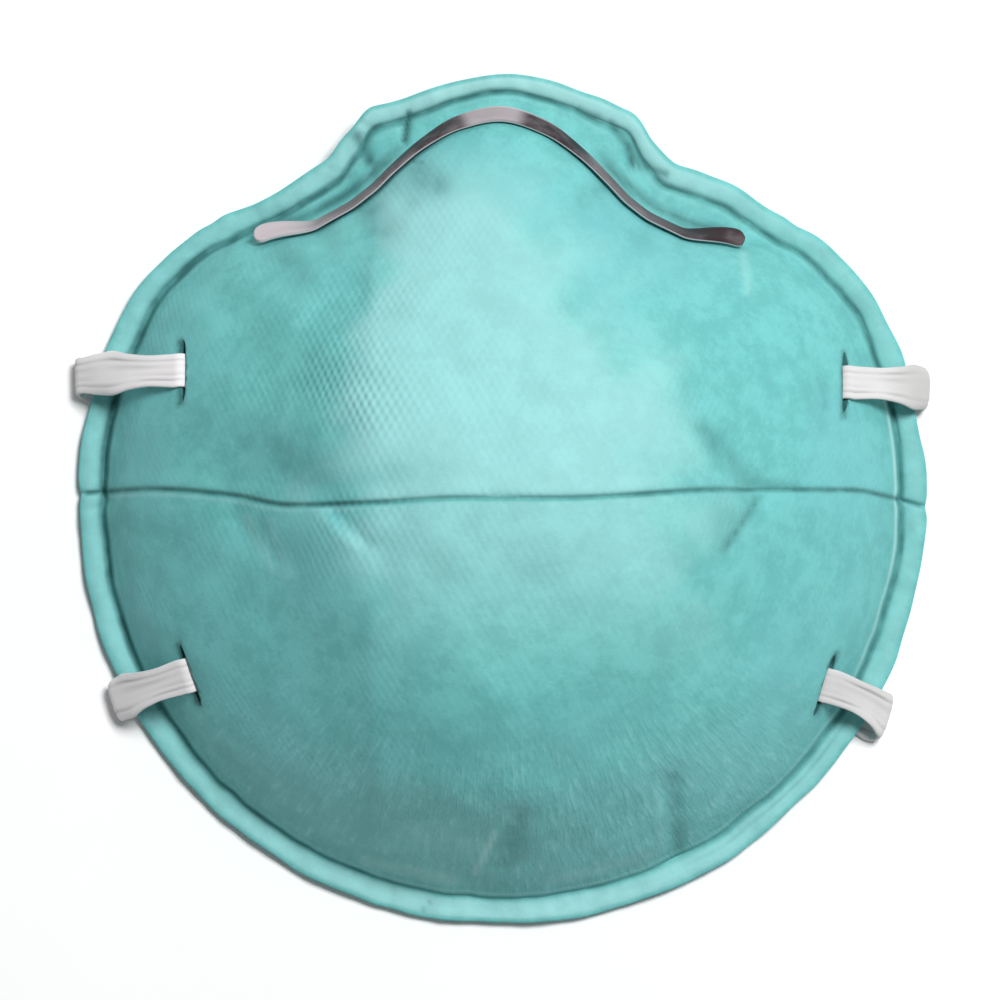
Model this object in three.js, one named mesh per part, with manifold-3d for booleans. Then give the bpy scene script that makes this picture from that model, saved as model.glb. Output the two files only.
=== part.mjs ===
// Disposable respirator: a moulded cup with a welded rim, a bent nose clip and two elastic head straps.
// Millimetres, +Z up. The cup lies rim down with its front upwards; +Y is the nose end, -Y the chin end.
// The origin is under the middle of the cup, on the surface that it lies on.

import * as THREE from 'three';
import { mergeVertices } from 'three/addons/utils/BufferGeometryUtils.js';
import Module from 'manifold-3d';

// ---------------------------------------------------------------- driving dimensions

const CUP = {
  depth: 50,             // top of the outside above the surface below
  wall: 1.8,
  crown: 24,             // radius where each section's crown height is given
  flankBase: 22,         // its flank height is given at flankBase + flankShare * brow radius
  flankShare: 0.375,
};
const FLANGE = {
  width: 4.2,
  noseWidth: 3.2,
  noseTurn: 16,          // half turn over which it is narrow at the nose
  thick: 1.1,
  grooveWide: 0.9,
  grooveDeep: 0.45,
  underside: 1.2,        // lowest level of the underside, with the straps passing below it
  rimRound: 0.35,
};
const SEAM = { depth: 0.45, halfWidth: 1.3, wave: 0.6, wavePeriod: 74, wavePhase: 0.7 };
// Cheeks: flatter than the round dome between the edge of the middle ridge and the brow.
const CHEEKS = {
  left: { ridge: 20, depth: 2.5 },
  right: { ridge: 26, depth: 1.8 },
  skew: 0.75,            // below 1 the deepest place is nearer the ridge
  fade: 1.5,
};
// The steep band and the clip on it lean to the left by this much between the middle and the shoulders.
const NOSE_LEAN = { most: 1.3, halfTurn: 50, waves: 3 };
const CLIP = {
  width: 5,
  thick: 0.8,
  gap: 0.5,
  turnLeft: -43.5,
  turnRight: 43.2,
  steps: 46,
  endShare: 0.06,        // square of the share of the half width that is left at the very ends
};
const STRAP = {
  width: 6.35,
  thick: 0.9,
  gap: 0.68,
  rimTurn: 1.95,
  tail: 3.2,
  foldGap: 0.35,
  foldHalf: 17,
  rimward: 56,           // how far out the level run goes on either side
  fallStart: 19,
  fallLength: 16,
};
const SLIT = { length: 9, height: 2.5, lip: 0.45, through: 7 };
const STEPS = {
  outside: [3, 4, 4, 2, 1],
  inside: [2, 3, 3, 2, 1],
  tail: 2,
  turn: 8,
  tab: 4,
  fold: 6,
  fall: 8,
  level: 6,
};
const CLOTH = { color: 0x8fd9d3, roughness: 0.85, metalness: 0 };
const METAL = { color: 0xcfc6cc, roughness: 0.35, metalness: 0.9 };
const ELASTIC = { color: 0xdedadd, roughness: 0.8, metalness: 0 };

// Spokes of the cup's grid, in turn from the nose: closer at the nose and on either side of the seam.
const SPOKES = [
  { from: 0, to: 62, steps: 24 },
  { from: 62, to: 88.8, steps: 5 },
  { from: 88.8, to: 91.2, steps: 2 },
  { from: 91.2, to: 180, steps: 17 },
];

// Radial sections of the cup, the same on both sides. turn is in degrees from the nose, rim, foot and brow
// are radii, lift is how far the flange stands above its lowest level, and each Up is the height of the
// outside. foot and brow are the lower and upper edge of the steep band above the flange.
const SECTION_COLUMNS = ['turn', 'rim', 'lift', 'foot', 'footUp', 'brow', 'browUp', 'flankUp', 'crownUp'];
const SECTIONS = [
  [0, 67.8, 7.0, 62.0, 10.4, 58.9, 16.6, 29.0, 41.6],
  [6, 67.2, 6.8, 60.6, 10.4, 57.8, 16.6, 29.0, 41.6],
  [12, 66.2, 6.3, 57.5, 10.3, 55.7, 16.5, 29.1, 41.8],
  [18, 65.6, 5.6, 54.3, 10.2, 53.0, 16.4, 29.3, 42.0],
  [23, 62.6, 5.0, 52.2, 9.8, 51.0, 16.0, 29.5, 42.4],
  [28, 60.6, 4.4, 51.4, 9.4, 50.2, 15.6, 29.7, 42.8],
  [34, 61.4, 3.6, 51.8, 8.8, 50.5, 15.0, 29.7, 43.2],
  [42, 62.7, 2.4, 55.9, 7.4, 54.1, 13.4, 29.5, 43.8],
  [48, 64.9, 1.6, 59.4, 6.8, 56.7, 12.6, 29.2, 44.2],
  [54, 66.4, 0.9, 60.6, 6.4, 57.6, 12.0, 28.9, 44.6],
  [62, 67.8, 0.2, 61.9, 6.2, 58.9, 11.6, 28.4, 44.9],
  [90, 67.8, 0.0, 61.9, 6.2, 58.9, 11.6, 28.0, 45.2],
  [135, 67.8, 0.0, 61.9, 6.3, 58.9, 11.9, 30.4, 45.4],
  [180, 67.8, 0.0, 61.9, 6.4, 58.9, 12.2, 34.0, 45.8],
]
  .map((row) => Object.fromEntries(SECTION_COLUMNS.map((key, i) => [key, row[i]])));

// Places where the two sides of the rim differ: turn is negative on the left, out moves the rim outwards.
const RIM_KINKS = [
  { turn: 24, out: -0.7, spread: 4.5 },
  { turn: -24, out: 0.7, spread: 5 },
  { turn: 38, out: 0.6, spread: 5 },
  { turn: -37, out: -0.7, spread: 5 },
];

// Soft folds and dents of the cup: from one end to the other, with the half width and the depth between.
const FOLDS = [
  { name: 'right cheek, upper', x1: 29, y1: 14, x2: 40, y2: 2, halfWidth: 3.4, depth: 0.8 },
  { name: 'right cheek, lower', x1: 40, y1: 1, x2: 34, y2: -8, halfWidth: 3.0, depth: 0.8 },
  { name: 'left cheek dent', x1: -33, y1: 2, x2: -17, y2: 0, halfWidth: 4.5, depth: 0.9 },
  { name: 'left cheek fold', x1: -26, y1: -1, x2: -19, y2: -8, halfWidth: 2.6, depth: 0.7 },
  { name: 'left side fold', x1: -41, y1: -3, x2: -35, y2: -9, halfWidth: 2.6, depth: 0.6 },
  { name: 'chin fold, right', x1: 26, y1: -46, x2: 27, y2: -57, halfWidth: 2.6, depth: 0.8 },
  { name: 'chin fold, middle', x1: 1, y1: -50, x2: -5, y2: -60, halfWidth: 3.0, depth: 0.9 },
  { name: 'right side fold', x1: 50, y1: 21, x2: 50, y2: 11, halfWidth: 2.2, depth: 0.5 },
  { name: 'nose wrinkle, left', x1: -13, y1: 51, x2: -19, y2: 41, halfWidth: 2.2, depth: 0.6 },
  { name: 'nose wrinkle, right', x1: 17, y1: 48, x2: 22, y2: 42, halfWidth: 2.0, depth: 0.5 },
];

// The four places where a strap comes out of the cup: the slit's lower lip in plan, how far the tab
// slopes towards the chin as it goes outwards, and how far out its loop round the rim reaches.
const STRAPS = [
  {
    name: 'strap_upper',
    left: { x: 52.6, y: 20.2, slope: 1.2, reach: 68.4 },
    right: { x: 56.4, y: 18.4, slope: 2, reach: 68.4 },
  },
  {
    name: 'strap_lower',
    left: { x: 51.4, y: -28.0, slope: 19, reach: 62.9 },
    right: { x: 53.0, y: -29.8, slope: 25, reach: 62.7 },
  },
];

// ---------------------------------------------------------------- small helpers

const rad = THREE.MathUtils.degToRad;
const EPSILON = 1e-6;
const SLOPE_STEP = 0.2;  // distance over which slopes are taken

// Monotone cubic through rising knots: smooth, with no overshoot between them. startSlope fixes the slope
// at the first knot where it is given.
function monotone(xs, ys, startSlope = null) {
  const n = xs.length;
  const chord = [];
  for (let i = 0; i < n - 1; i++) chord.push((ys[i + 1] - ys[i]) / (xs[i + 1] - xs[i]));
  const slope = [startSlope ?? chord[0]];
  for (let i = 1; i < n - 1; i++) {
    const a = chord[i - 1];
    const b = chord[i];
    slope.push(a * b <= 0 ? 0 : (2 * a * b) / (a + b));
  }
  slope.push(chord[n - 2]);
  return (x) => {
    let i = 0;
    while (i < n - 2 && x > xs[i + 1]) i++;
    const h = xs[i + 1] - xs[i];
    const t = (x - xs[i]) / h;
    const rise = (3 - 2 * t) * t * t;
    const left = t * (1 - t) * (1 - t) * h * slope[i];
    const right = -t * t * (1 - t) * h * slope[i + 1];
    return ys[i] + rise * (ys[i + 1] - ys[i]) + left + right;
  };
}

const bump = (x) => Math.exp(-x * x);
const turns = SECTIONS.map((row) => row.turn);
const column = (key) => monotone(turns, SECTIONS.map((row) => row[key]), 0);
const table = Object.fromEntries(Object.keys(SECTIONS[0]).map((key) => [key, column(key)]));

function sectionAt(turn) {
  const side = Math.abs(turn);
  const lean = NOSE_LEAN.most * Math.sin(rad(NOSE_LEAN.waves * turn)) * bump(turn / NOSE_LEAN.halfTurn);
  let rim = table.rim(side);
  for (const kink of RIM_KINKS) rim += kink.out * bump((turn - kink.turn) / kink.spread);
  const brow = table.brow(side) - lean;
  const flank = CUP.flankBase + CUP.flankShare * brow;
  const foot = table.foot(side) - lean;
  const groove = rim - FLANGE.width + (FLANGE.width - FLANGE.noseWidth) * bump(side / FLANGE.noseTurn);
  const under = FLANGE.underside + table.lift(side);
  const ups = ['crownUp', 'flankUp', 'browUp', 'footUp'].map((key) => table[key](side));
  const heights = monotone(
    [0, CUP.crown, flank, brow, foot, groove],
    [CUP.depth, ...ups, under + FLANGE.thick],
    0,
  );
  return { rim, under, groove, foot, brow, flank, heights };
}

const turnOf = (x, y) => THREE.MathUtils.radToDeg(Math.atan2(x, y));
const seamY = (x) => SEAM.wave * Math.sin((2 * Math.PI * x) / SEAM.wavePeriod + SEAM.wavePhase);

// Depth of one fold at a point: full along the line between its ends, and fading round it.
function foldDepth(fold, x, y) {
  const dx = fold.x2 - fold.x1;
  const dy = fold.y2 - fold.y1;
  const share = ((x - fold.x1) * dx + (y - fold.y1) * dy) / (dx * dx + dy * dy);
  const along = THREE.MathUtils.clamp(share, 0, 1);
  const distance = Math.hypot(x - fold.x1 - along * dx, y - fold.y1 - along * dy);
  return fold.depth * bump(distance / fold.halfWidth);
}

// How far a cheek lies below the round dome: along each radius the squared sine of the share of the way
// from the ridge's edge to the brow, times the cheek's depth, and less where that way is short.
function cheekSink(x, y, brow) {
  const radius = Math.hypot(x, y);
  const cheek = x < 0 ? CHEEKS.left : CHEEKS.right;
  const edge = (cheek.ridge * radius) / Math.max(Math.abs(x), EPSILON);
  const way = brow - edge;
  if (way <= 0) return 0;
  const share = THREE.MathUtils.clamp((radius - edge) / way, 0, 1);
  const depth = cheek.depth * (way / (brow - cheek.ridge)) ** CHEEKS.fade;
  return depth * Math.sin(Math.PI * share ** CHEEKS.skew) ** 2;
}

// Height of the cup's outside above a point inside the weld groove.
function cupHeight(x, y) {
  const section = sectionAt(turnOf(x, y));
  let z = section.heights(Math.hypot(x, y)) - cheekSink(x, y, section.brow);
  for (const fold of FOLDS) z -= foldDepth(fold, x, y);
  return z - SEAM.depth * bump((y - seamY(x)) / SEAM.halfWidth);
}

function cupNormal(x, y) {
  const step = SLOPE_STEP;
  const dx = (cupHeight(x + step, y) - cupHeight(x - step, y)) / (2 * step);
  const dy = (cupHeight(x, y + step) - cupHeight(x, y - step)) / (2 * step);
  return new THREE.Vector3(-dx, -dy, 1).normalize();
}

const cupPoint = (x, y) => new THREE.Vector3(x, y, cupHeight(x, y));

// Closed mesh from rings of points: each ring joins the next, and the first and last close on a point.
function fromRings(rings, startPoint, endPoint) {
  const count = rings[0].length;
  const points = [startPoint, ...rings.flat(), endPoint];
  const faces = [];
  const at = (ring, i) => 1 + ring * count + (i % count);
  for (let i = 0; i < count; i++) {
    faces.push(0, at(0, i), at(0, i + 1));
    faces.push(points.length - 1, at(rings.length - 1, i + 1), at(rings.length - 1, i));
  }
  for (let ring = 0; ring < rings.length - 1; ring++) {
    for (let i = 0; i < count; i++) {
      faces.push(at(ring, i), at(ring + 1, i), at(ring + 1, i + 1));
      faces.push(at(ring, i), at(ring + 1, i + 1), at(ring, i + 1));
    }
  }
  return toGeometry(points, faces);
}

function toGeometry(points, faces) {
  const geometry = new THREE.BufferGeometry();
  const numbers = points.flatMap((p) => [p.x, p.y, p.z]);
  geometry.setAttribute('position', new THREE.Float32BufferAttribute(numbers, 3));
  geometry.setIndex(faces);
  geometry.computeVertexNormals();
  return geometry;
}

// Flat band swept along a path of stops: each gives its middle and the unit vector across it, and its half
// width where that isn't the band's own.
function band(stops, thick, half) {
  const points = stops.flatMap((stop, i) => {
    const before = stops[Math.max(i - 1, 0)].middle;
    const after = stops[Math.min(i + 1, stops.length - 1)].middle;
    const normal = after.clone().sub(before).cross(stop.across).normalize().multiplyScalar(thick / 2);
    const side = stop.across.clone().multiplyScalar(stop.half ?? half);
    return [[1, 1], [-1, 1], [-1, -1], [1, -1]].map(([s, n]) => stop.middle.clone()
      .addScaledVector(side, s).addScaledVector(normal, n));
  });
  const faces = [];
  const last = points.length - 4;
  for (let ring = 0; ring < stops.length - 1; ring++) {
    for (let i = 0; i < 4; i++) {
      const a = 4 * ring + i;
      const b = 4 * ring + ((i + 1) % 4);
      faces.push(a, b, b + 4, a, b + 4, a + 4);
    }
  }
  faces.push(0, 2, 1, 0, 3, 2);
  faces.push(last, last + 1, last + 2, last, last + 2, last + 3);
  return toGeometry(points, faces);
}

// ---------------------------------------------------------------- cup

function gridTurns() {
  const list = SPOKES.flatMap(({ from, to, steps }) => Array.from({ length: steps }, (_, i) => (
    from + ((to - from) * i) / steps)));
  return [...list.slice(1).map((turn) => -turn).reverse(), ...list, 180];
}

// Radii of the rows between the top and the weld groove, split evenly between the section's knots.
function wallRadii(section, splits) {
  const knots = [0, CUP.crown, section.flank, section.brow, section.foot, section.groove];
  const radii = [];
  splits.forEach((count, k) => {
    for (let i = 1; i <= count; i++) radii.push(knots[k] + ((knots[k + 1] - knots[k]) * i) / count);
  });
  return radii;
}

// Rows of one radial section in order: outside, flange, underside and inside.
function sectionRows(turn) {
  const section = sectionAt(turn);
  const top = section.under + FLANGE.thick;
  const spoke = (r, z) => new THREE.Vector3(r * Math.sin(rad(turn)), r * Math.cos(rad(turn)), z);
  const rows = wallRadii(section, STEPS.outside).map((r) => {
    const flat = spoke(r, 0);
    return cupPoint(flat.x, flat.y);
  });
  rows.push(spoke(section.groove + FLANGE.grooveWide / 2, top - FLANGE.grooveDeep));
  rows.push(spoke(section.groove + FLANGE.grooveWide, top));
  rows.push(spoke(section.rim - FLANGE.rimRound, top));
  rows.push(spoke(section.rim, top - FLANGE.thick / 2));
  rows.push(spoke(section.rim - FLANGE.rimRound, section.under));
  rows.push(spoke(section.groove - CUP.wall / 2, section.under));
  for (const r of wallRadii(section, STEPS.inside).reverse()) {
    const flat = spoke(r, 0);
    rows.push(cupPoint(flat.x, flat.y).addScaledVector(cupNormal(flat.x, flat.y), -CUP.wall));
  }
  return rows;
}

function cupBlank() {
  const sections = gridTurns().reverse().map(sectionRows);
  const rings = sections[0].map((_, row) => sections.map((section) => section[row]));
  const top = cupPoint(0, 0);
  return fromRings(rings, top, top.clone().setZ(top.z - CUP.wall));
}

// ---------------------------------------------------------------- straps

// Frame of one strap end. outwards is its level direction in plan, lip is the middle of the wall at the
// slit's lower lip, wallNormal points out of the wall, down runs outwards along it, and across lies in it.
function strapEnd(end, sign) {
  const lean = rad(end.slope);
  const outwards = new THREE.Vector3(sign * Math.cos(lean), -Math.sin(lean), 0);
  const foot = cupPoint(sign * end.x, end.y);
  const wallNormal = cupNormal(foot.x, foot.y);
  return {
    ...end,
    sign,
    outwards,
    wallNormal,
    lip: foot.clone().addScaledVector(wallNormal, -CUP.wall / 2),
    down: outwards.clone().addScaledVector(wallNormal, -outwards.dot(wallNormal)).normalize(),
    across: acrossStrap(wallNormal, outwards),
  };
}

// Unit vector across a strap that runs along outwards against the normal, pointing to the nose end.
function acrossStrap(normal, outwards) {
  const across = normal.clone().cross(outwards).normalize();
  return across.y < 0 ? across.negate() : across;
}

// Angle, in the plane of axes u and v round a centre, of the tangent from a far point to a circle.
function tangentAngle(centre, radius, u, v, far, side) {
  const reach = far.clone().sub(centre);
  const along = reach.dot(u);
  const up = reach.dot(v);
  return Math.atan2(up, along) + side * Math.acos(radius / Math.hypot(along, up));
}

const onCircle = (centre, radius, u, v, angle) => centre.clone()
  .addScaledVector(u, radius * Math.cos(angle)).addScaledVector(v, radius * Math.sin(angle));

// Stops of one strap end: the tail inside the wall, the turn through the slit round its lower lip, the
// straight tab to the rim, and the loose loop round the rim down to the surface below.
function endStops(end) {
  const { sign, outwards, wallNormal, down, lip } = end;
  const up = new THREE.Vector3(0, 0, 1);
  const level = acrossStrap(up, outwards);
  const lipTurn = (CUP.wall + STRAP.thick) / 2 + STRAP.gap;
  const run = (end.reach - STRAP.thick / 2 - STRAP.rimTurn - end.x) / Math.abs(outwards.x);
  const loop = new THREE.Vector3(sign * end.x, end.y, 0).addScaledVector(outwards, run)
    .setZ(STRAP.thick / 2 + STRAP.rimTurn);

  const stops = [];
  for (let i = STEPS.tail; i > 0; i--) {
    const plan = lip.clone().addScaledVector(down, (STRAP.tail * i) / STEPS.tail);
    const place = cupPoint(plan.x, plan.y);
    const normal = cupNormal(plan.x, plan.y);
    const depth = CUP.wall / 2 + lipTurn;
    stops.push({ middle: place.addScaledVector(normal, -depth), across: acrossStrap(normal, outwards) });
  }

  let from = lip;
  let toAngle = 0;
  let leave = 0;
  for (let pass = 0; pass < 3; pass++) {
    toAngle = tangentAngle(loop, STRAP.rimTurn, outwards, up, from, -1);
    const far = onCircle(loop, STRAP.rimTurn, outwards, up, toAngle);
    leave = tangentAngle(lip, lipTurn, down, wallNormal, far, 1);
    from = onCircle(lip, lipTurn, down, wallNormal, leave);
  }
  for (let i = 0; i <= STEPS.turn; i++) {
    const angle = -Math.PI / 2 + ((leave - 2 * Math.PI + Math.PI / 2) * i) / STEPS.turn;
    stops.push({ middle: onCircle(lip, lipTurn, down, wallNormal, angle), across: end.across.clone() });
  }
  const far = onCircle(loop, STRAP.rimTurn, outwards, up, toAngle);
  for (let i = 1; i < STEPS.tab; i++) {
    const t = i / STEPS.tab;
    const across = end.across.clone().lerp(level, t).normalize();
    stops.push({ middle: from.clone().lerp(far, t), across });
  }
  for (let i = 0; i <= STEPS.turn; i++) {
    const angle = toAngle + ((-Math.PI / 2 - toAngle) * i) / STEPS.turn;
    stops.push({ middle: onCircle(loop, STRAP.rimTurn, outwards, up, angle), across: level.clone() });
  }
  return stops;
}

// Plan of a strap: y over x, straight outside the slits and one cubic curve between them.
function strapPlan(row) {
  const { left, right } = row;
  const riseLeft = Math.tan(rad(left.slope));
  const riseRight = -Math.tan(rad(right.slope));
  const span = left.x + right.x;
  return (x) => {
    if (x < -left.x) return left.y + riseLeft * (x + left.x);
    if (x > right.x) return right.y + riseRight * (x - right.x);
    const t = (x + left.x) / span;
    const blend = (3 - 2 * t) * t * t;
    const ends = t * (1 - t) * (1 - t) * span * riseLeft - t * t * (1 - t) * span * riseRight;
    return left.y + blend * (right.y - left.y) + ends;
  };
}

// Side view of the strap inside the rim, x and height: across on the surface, then across, back and across
// again in three flat layers that hold its slack, and down to the surface.
function slackRoute() {
  const pitch = STRAP.thick + STRAP.foldGap;
  const low = STRAP.thick / 2;
  const route = [];
  const level = (from, to) => {
    for (let i = 0; i <= STEPS.level; i++) route.push([from + ((to - from) * i) / STEPS.level, low]);
  };
  const fold = (x, z, side) => {
    for (let i = 0; i <= STEPS.fold; i++) {
      const angle = -Math.PI / 2 + (Math.PI * i) / STEPS.fold;
      route.push([x + (side * Math.cos(angle) * pitch) / 2, z + ((1 + Math.sin(angle)) * pitch) / 2]);
    }
  };
  level(-STRAP.rimward, 0);
  fold(STRAP.foldHalf, low, 1);
  fold(-STRAP.foldHalf, low + pitch, -1);
  for (let i = 0; i <= STEPS.fall; i++) {
    const t = i / STEPS.fall;
    const height = low + 2 * pitch * (1 - (3 - 2 * t) * t * t);
    route.push([STRAP.fallStart + STRAP.fallLength * t, height]);
  }
  level(STRAP.fallStart + STRAP.fallLength + 3, STRAP.rimward);
  return route;
}

function strapGeometry(row) {
  const plan = strapPlan(row);
  const slack = slackRoute().map(([x, z]) => {
    const rise = (plan(x + SLOPE_STEP) - plan(x - SLOPE_STEP)) / (2 * SLOPE_STEP);
    return { middle: new THREE.Vector3(x, plan(x), z), across: new THREE.Vector3(-rise, 1, 0).normalize() };
  });
  const leftStops = endStops(strapEnd(row.left, -1));
  const rightStops = endStops(strapEnd(row.right, 1)).reverse();
  return band([...leftStops, ...slack, ...rightStops], STRAP.thick, STRAP.width / 2);
}

// ---------------------------------------------------------------- nose clip

// The clip lies on the steep band from one shoulder of the nose to the other. Each stop is found from the
// wall's own points under the clip's two edges, and the half width shrinks over the rounded ends.
function clipGeometry() {
  const seats = [];
  for (let i = 0; i <= CLIP.steps; i++) {
    const turn = CLIP.turnLeft + ((CLIP.turnRight - CLIP.turnLeft) * i) / CLIP.steps;
    const { foot, brow } = sectionAt(turn);
    const pointAt = (r) => cupPoint(r * Math.sin(rad(turn)), r * Math.cos(rad(turn)));
    const share = CLIP.width / pointAt(foot).distanceTo(pointAt(brow)) / 2;
    const low = pointAt((foot + brow) / 2 + share * (foot - brow));
    const high = pointAt((foot + brow) / 2 - share * (foot - brow));
    seats.push({ place: low.clone().lerp(high, 0.5), slope: high.clone().sub(low).normalize() });
  }
  const run = [0];
  for (let i = 1; i < seats.length; i++) {
    run.push(run[i - 1] + seats[i].place.distanceTo(seats[i - 1].place));
  }
  const total = run[run.length - 1];
  const stops = seats.map(({ place, slope }, i) => {
    const before = seats[Math.max(i - 1, 0)].place;
    const after = seats[Math.min(i + 1, CLIP.steps)].place;
    const along = after.clone().sub(before).normalize();
    const normal = slope.clone().cross(along).normalize();
    const short = Math.max(1 - Math.min(run[i], total - run[i]) / (CLIP.width / 2), 0);
    return {
      middle: place.clone().addScaledVector(normal, CLIP.gap + CLIP.thick / 2),
      across: along.cross(normal).negate(),
      half: (CLIP.width / 2) * Math.sqrt(Math.max(1 - short * short, CLIP.endShare)),
    };
  });
  return band(stops, CLIP.thick);
}

// ---------------------------------------------------------------- joins and cuts

const wasm = await Module();
wasm.setup();

function toManifold(geometry) {
  return new wasm.Manifold(new wasm.Mesh({
    numProp: 3,
    vertProperties: new Float32Array(geometry.getAttribute('position').array),
    triVerts: new Uint32Array(geometry.getIndex().array),
  }));
}

function fromManifold(solid) {
  const mesh = solid.getMesh();
  const geometry = new THREE.BufferGeometry();
  geometry.setAttribute('position', new THREE.BufferAttribute(mesh.vertProperties, 3));
  geometry.setIndex(new THREE.BufferAttribute(mesh.triVerts, 1));
  geometry.computeVertexNormals();
  return geometry;
}

// Block that cuts one slit: square to the wall, just above its lower lip, across the strap.
function slitCutter(row, sign) {
  const end = strapEnd(row, sign);
  const box = new THREE.BoxGeometry(SLIT.height, SLIT.length, SLIT.through);
  box.deleteAttribute('normal');
  box.deleteAttribute('uv');
  const third = end.down.clone().cross(end.across);
  const place = new THREE.Matrix4().makeBasis(end.down, end.across, third);
  place.setPosition(end.lip.clone().addScaledVector(end.down, -SLIT.lip - SLIT.height / 2));
  return toManifold(mergeVertices(box).applyMatrix4(place));
}

function cupGeometry() {
  let solid = toManifold(cupBlank());
  for (const row of STRAPS) {
    solid = solid.subtract(slitCutter(row.left, -1)).subtract(slitCutter(row.right, 1));
  }
  return fromManifold(solid);
}

// ---------------------------------------------------------------- assembly

const respirator = new THREE.Group();

function addPiece(name, geometry, finish) {
  const piece = new THREE.Mesh(geometry, new THREE.MeshStandardMaterial(finish));
  piece.name = name;
  respirator.add(piece);
}

addPiece('shell', cupGeometry(), CLOTH);
addPiece('nose_clip', clipGeometry(), METAL);
for (const row of STRAPS) addPiece(row.name, strapGeometry(row), ELASTIC);

export default respirator;
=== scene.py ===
"""Disposable respirator lying rim down: a moulded cloth cup, a bent metal nose clip and two elastic straps.

Lengths are in millimetres up to the moment a mesh is written, and Blender's objects are in metres. +Z is up,
+Y points to the nose end and +X to the right. The plan of the cup is polar: turn is the angle from the nose.
"""

import logging
import math
from collections.abc import Sequence
from dataclasses import dataclass, field
from enum import Enum

import bmesh
import bpy
import numpy as np
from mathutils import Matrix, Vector


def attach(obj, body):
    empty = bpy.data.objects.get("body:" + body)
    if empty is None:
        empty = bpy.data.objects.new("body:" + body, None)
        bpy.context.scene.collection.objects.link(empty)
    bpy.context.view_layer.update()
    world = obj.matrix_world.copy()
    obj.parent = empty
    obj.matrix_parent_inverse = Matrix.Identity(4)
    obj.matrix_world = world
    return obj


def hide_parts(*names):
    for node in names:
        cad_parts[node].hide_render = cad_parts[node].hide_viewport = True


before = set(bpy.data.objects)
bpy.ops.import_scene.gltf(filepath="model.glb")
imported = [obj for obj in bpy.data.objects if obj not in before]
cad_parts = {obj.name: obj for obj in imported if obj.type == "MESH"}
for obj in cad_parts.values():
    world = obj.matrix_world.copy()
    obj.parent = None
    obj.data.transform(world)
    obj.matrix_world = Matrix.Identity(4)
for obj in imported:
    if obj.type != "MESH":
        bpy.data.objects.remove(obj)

LOG = logging.getLogger("respirator")
MM = 0.001
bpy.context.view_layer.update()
BODY = "root"
UV_UNIT = 100.0
CUT_MARK = 1
Array = np.ndarray
Colour = tuple[float, float, float]
Socket = bpy.types.NodeSocket


# ---- curves and meshes


def unit(vectors: Array) -> Array:
    """Vectors along the last axis, each divided by its length."""
    return vectors / np.maximum(np.linalg.norm(vectors, axis=-1, keepdims=True), 1e-12)


def bell(x: Array) -> Array:
    """Bell curve: e to the power of minus x squared."""
    return np.exp(-x * x)


def ease(x: Array) -> Array:
    """Smooth step from 0 to 1: three x squared minus two x cubed, held outside 0 to 1."""
    t = np.clip(x, 0.0, 1.0)
    return t * t * (3 - 2 * t)


def knot_curve(xs: Array, ys: Array, x: Array, start: float | None = None) -> Array:
    """Monotone cubic through knots, without overshoot.

    The slope at an inner knot is the harmonic mean of the two chords beside it, or 0 where they change sign;
    each stretch is the cubic that has those values and slopes at its ends.

    Args:
        xs: rising knot places, shape (..., k), broadcast against x.
        ys: knot values, the same shape.
        x: where to read the curves, shape (...).
        start: the slope at the first knot; the first chord's where it is None.

    Returns:
        The curves' values, in x's shape.
    """
    shape = x.shape + (xs.shape[-1],)
    xs = np.broadcast_to(xs, shape)
    ys = np.broadcast_to(ys, shape)
    chord = np.diff(ys) / np.diff(xs)
    before, after = chord[..., :-1], chord[..., 1:]
    agree = before * after > 0
    inner = np.where(agree, 2 * before * after / np.where(agree, before + after, 1.0), 0.0)
    first = chord[..., :1] if start is None else np.full(x.shape + (1,), float(start))
    slopes = np.concatenate([first, inner, chord[..., -1:]], axis=-1)
    low = (x[..., None] > xs[..., 1:-1]).sum(axis=-1)[..., None]

    def at(values: Array, index: Array) -> Array:
        """The values of one knot, counted along the last axis."""
        return np.take_along_axis(values, index, axis=-1)[..., 0]

    width = at(xs, low + 1) - at(xs, low)
    t = (x - at(xs, low)) / width
    rise = (3 - 2 * t) * t * t
    leaving = t * (1 - t) ** 2 * width * at(slopes, low)
    arriving = -t * t * (1 - t) * width * at(slopes, low + 1)
    return at(ys, low) * (1 - rise) + at(ys, low + 1) * rise + leaving + arriving


def heading(turn: Array) -> tuple[Array, Array]:
    """Shares of x and y in the direction of a turn in degrees."""
    return np.sin(np.radians(turn)), np.cos(np.radians(turn))


def run_along(points: Array) -> Array:
    """Length along a line of points, 0 at the first."""
    return np.concatenate([[0], np.cumsum(np.linalg.norm(np.diff(points, axis=0), axis=1))])


def squared_oval(count: int, side: float, face: float) -> tuple[Array, Array]:
    """Ring of a band's section: cosine and sine with their signs kept, raised to the powers side and face.

    Args:
        count: how many points the ring has.
        side: the power for the place across, smaller for blunter sides.
        face: the power for the lift, smaller for flatter faces.

    Returns:
        Each point's place across and its lift, both from -1 to 1.
    """
    around = np.linspace(0, 2 * math.pi, count + 1)[:-1]
    across, lift = np.cos(around), np.sin(around)
    return np.sign(across) * np.abs(across) ** side, np.sign(lift) * np.abs(lift) ** face


def even_steps(knots: Sequence[Array], counts: Sequence[int]) -> Array:
    """Rows between neighbouring knots, evenly spaced in each stretch, from the first knot to the last.

    Args:
        knots: the knots' values, each of shape (n,).
        counts: how many steps each stretch has.

    Returns:
        Array of shape (rows, n), without the first knot and with the last.
    """
    rows = [
        knots[k] + (knots[k + 1] - knots[k]) * (step / count)
        for k, count in enumerate(counts)
        for step in range(1, count + 1)
    ]
    return np.stack(rows)


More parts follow.
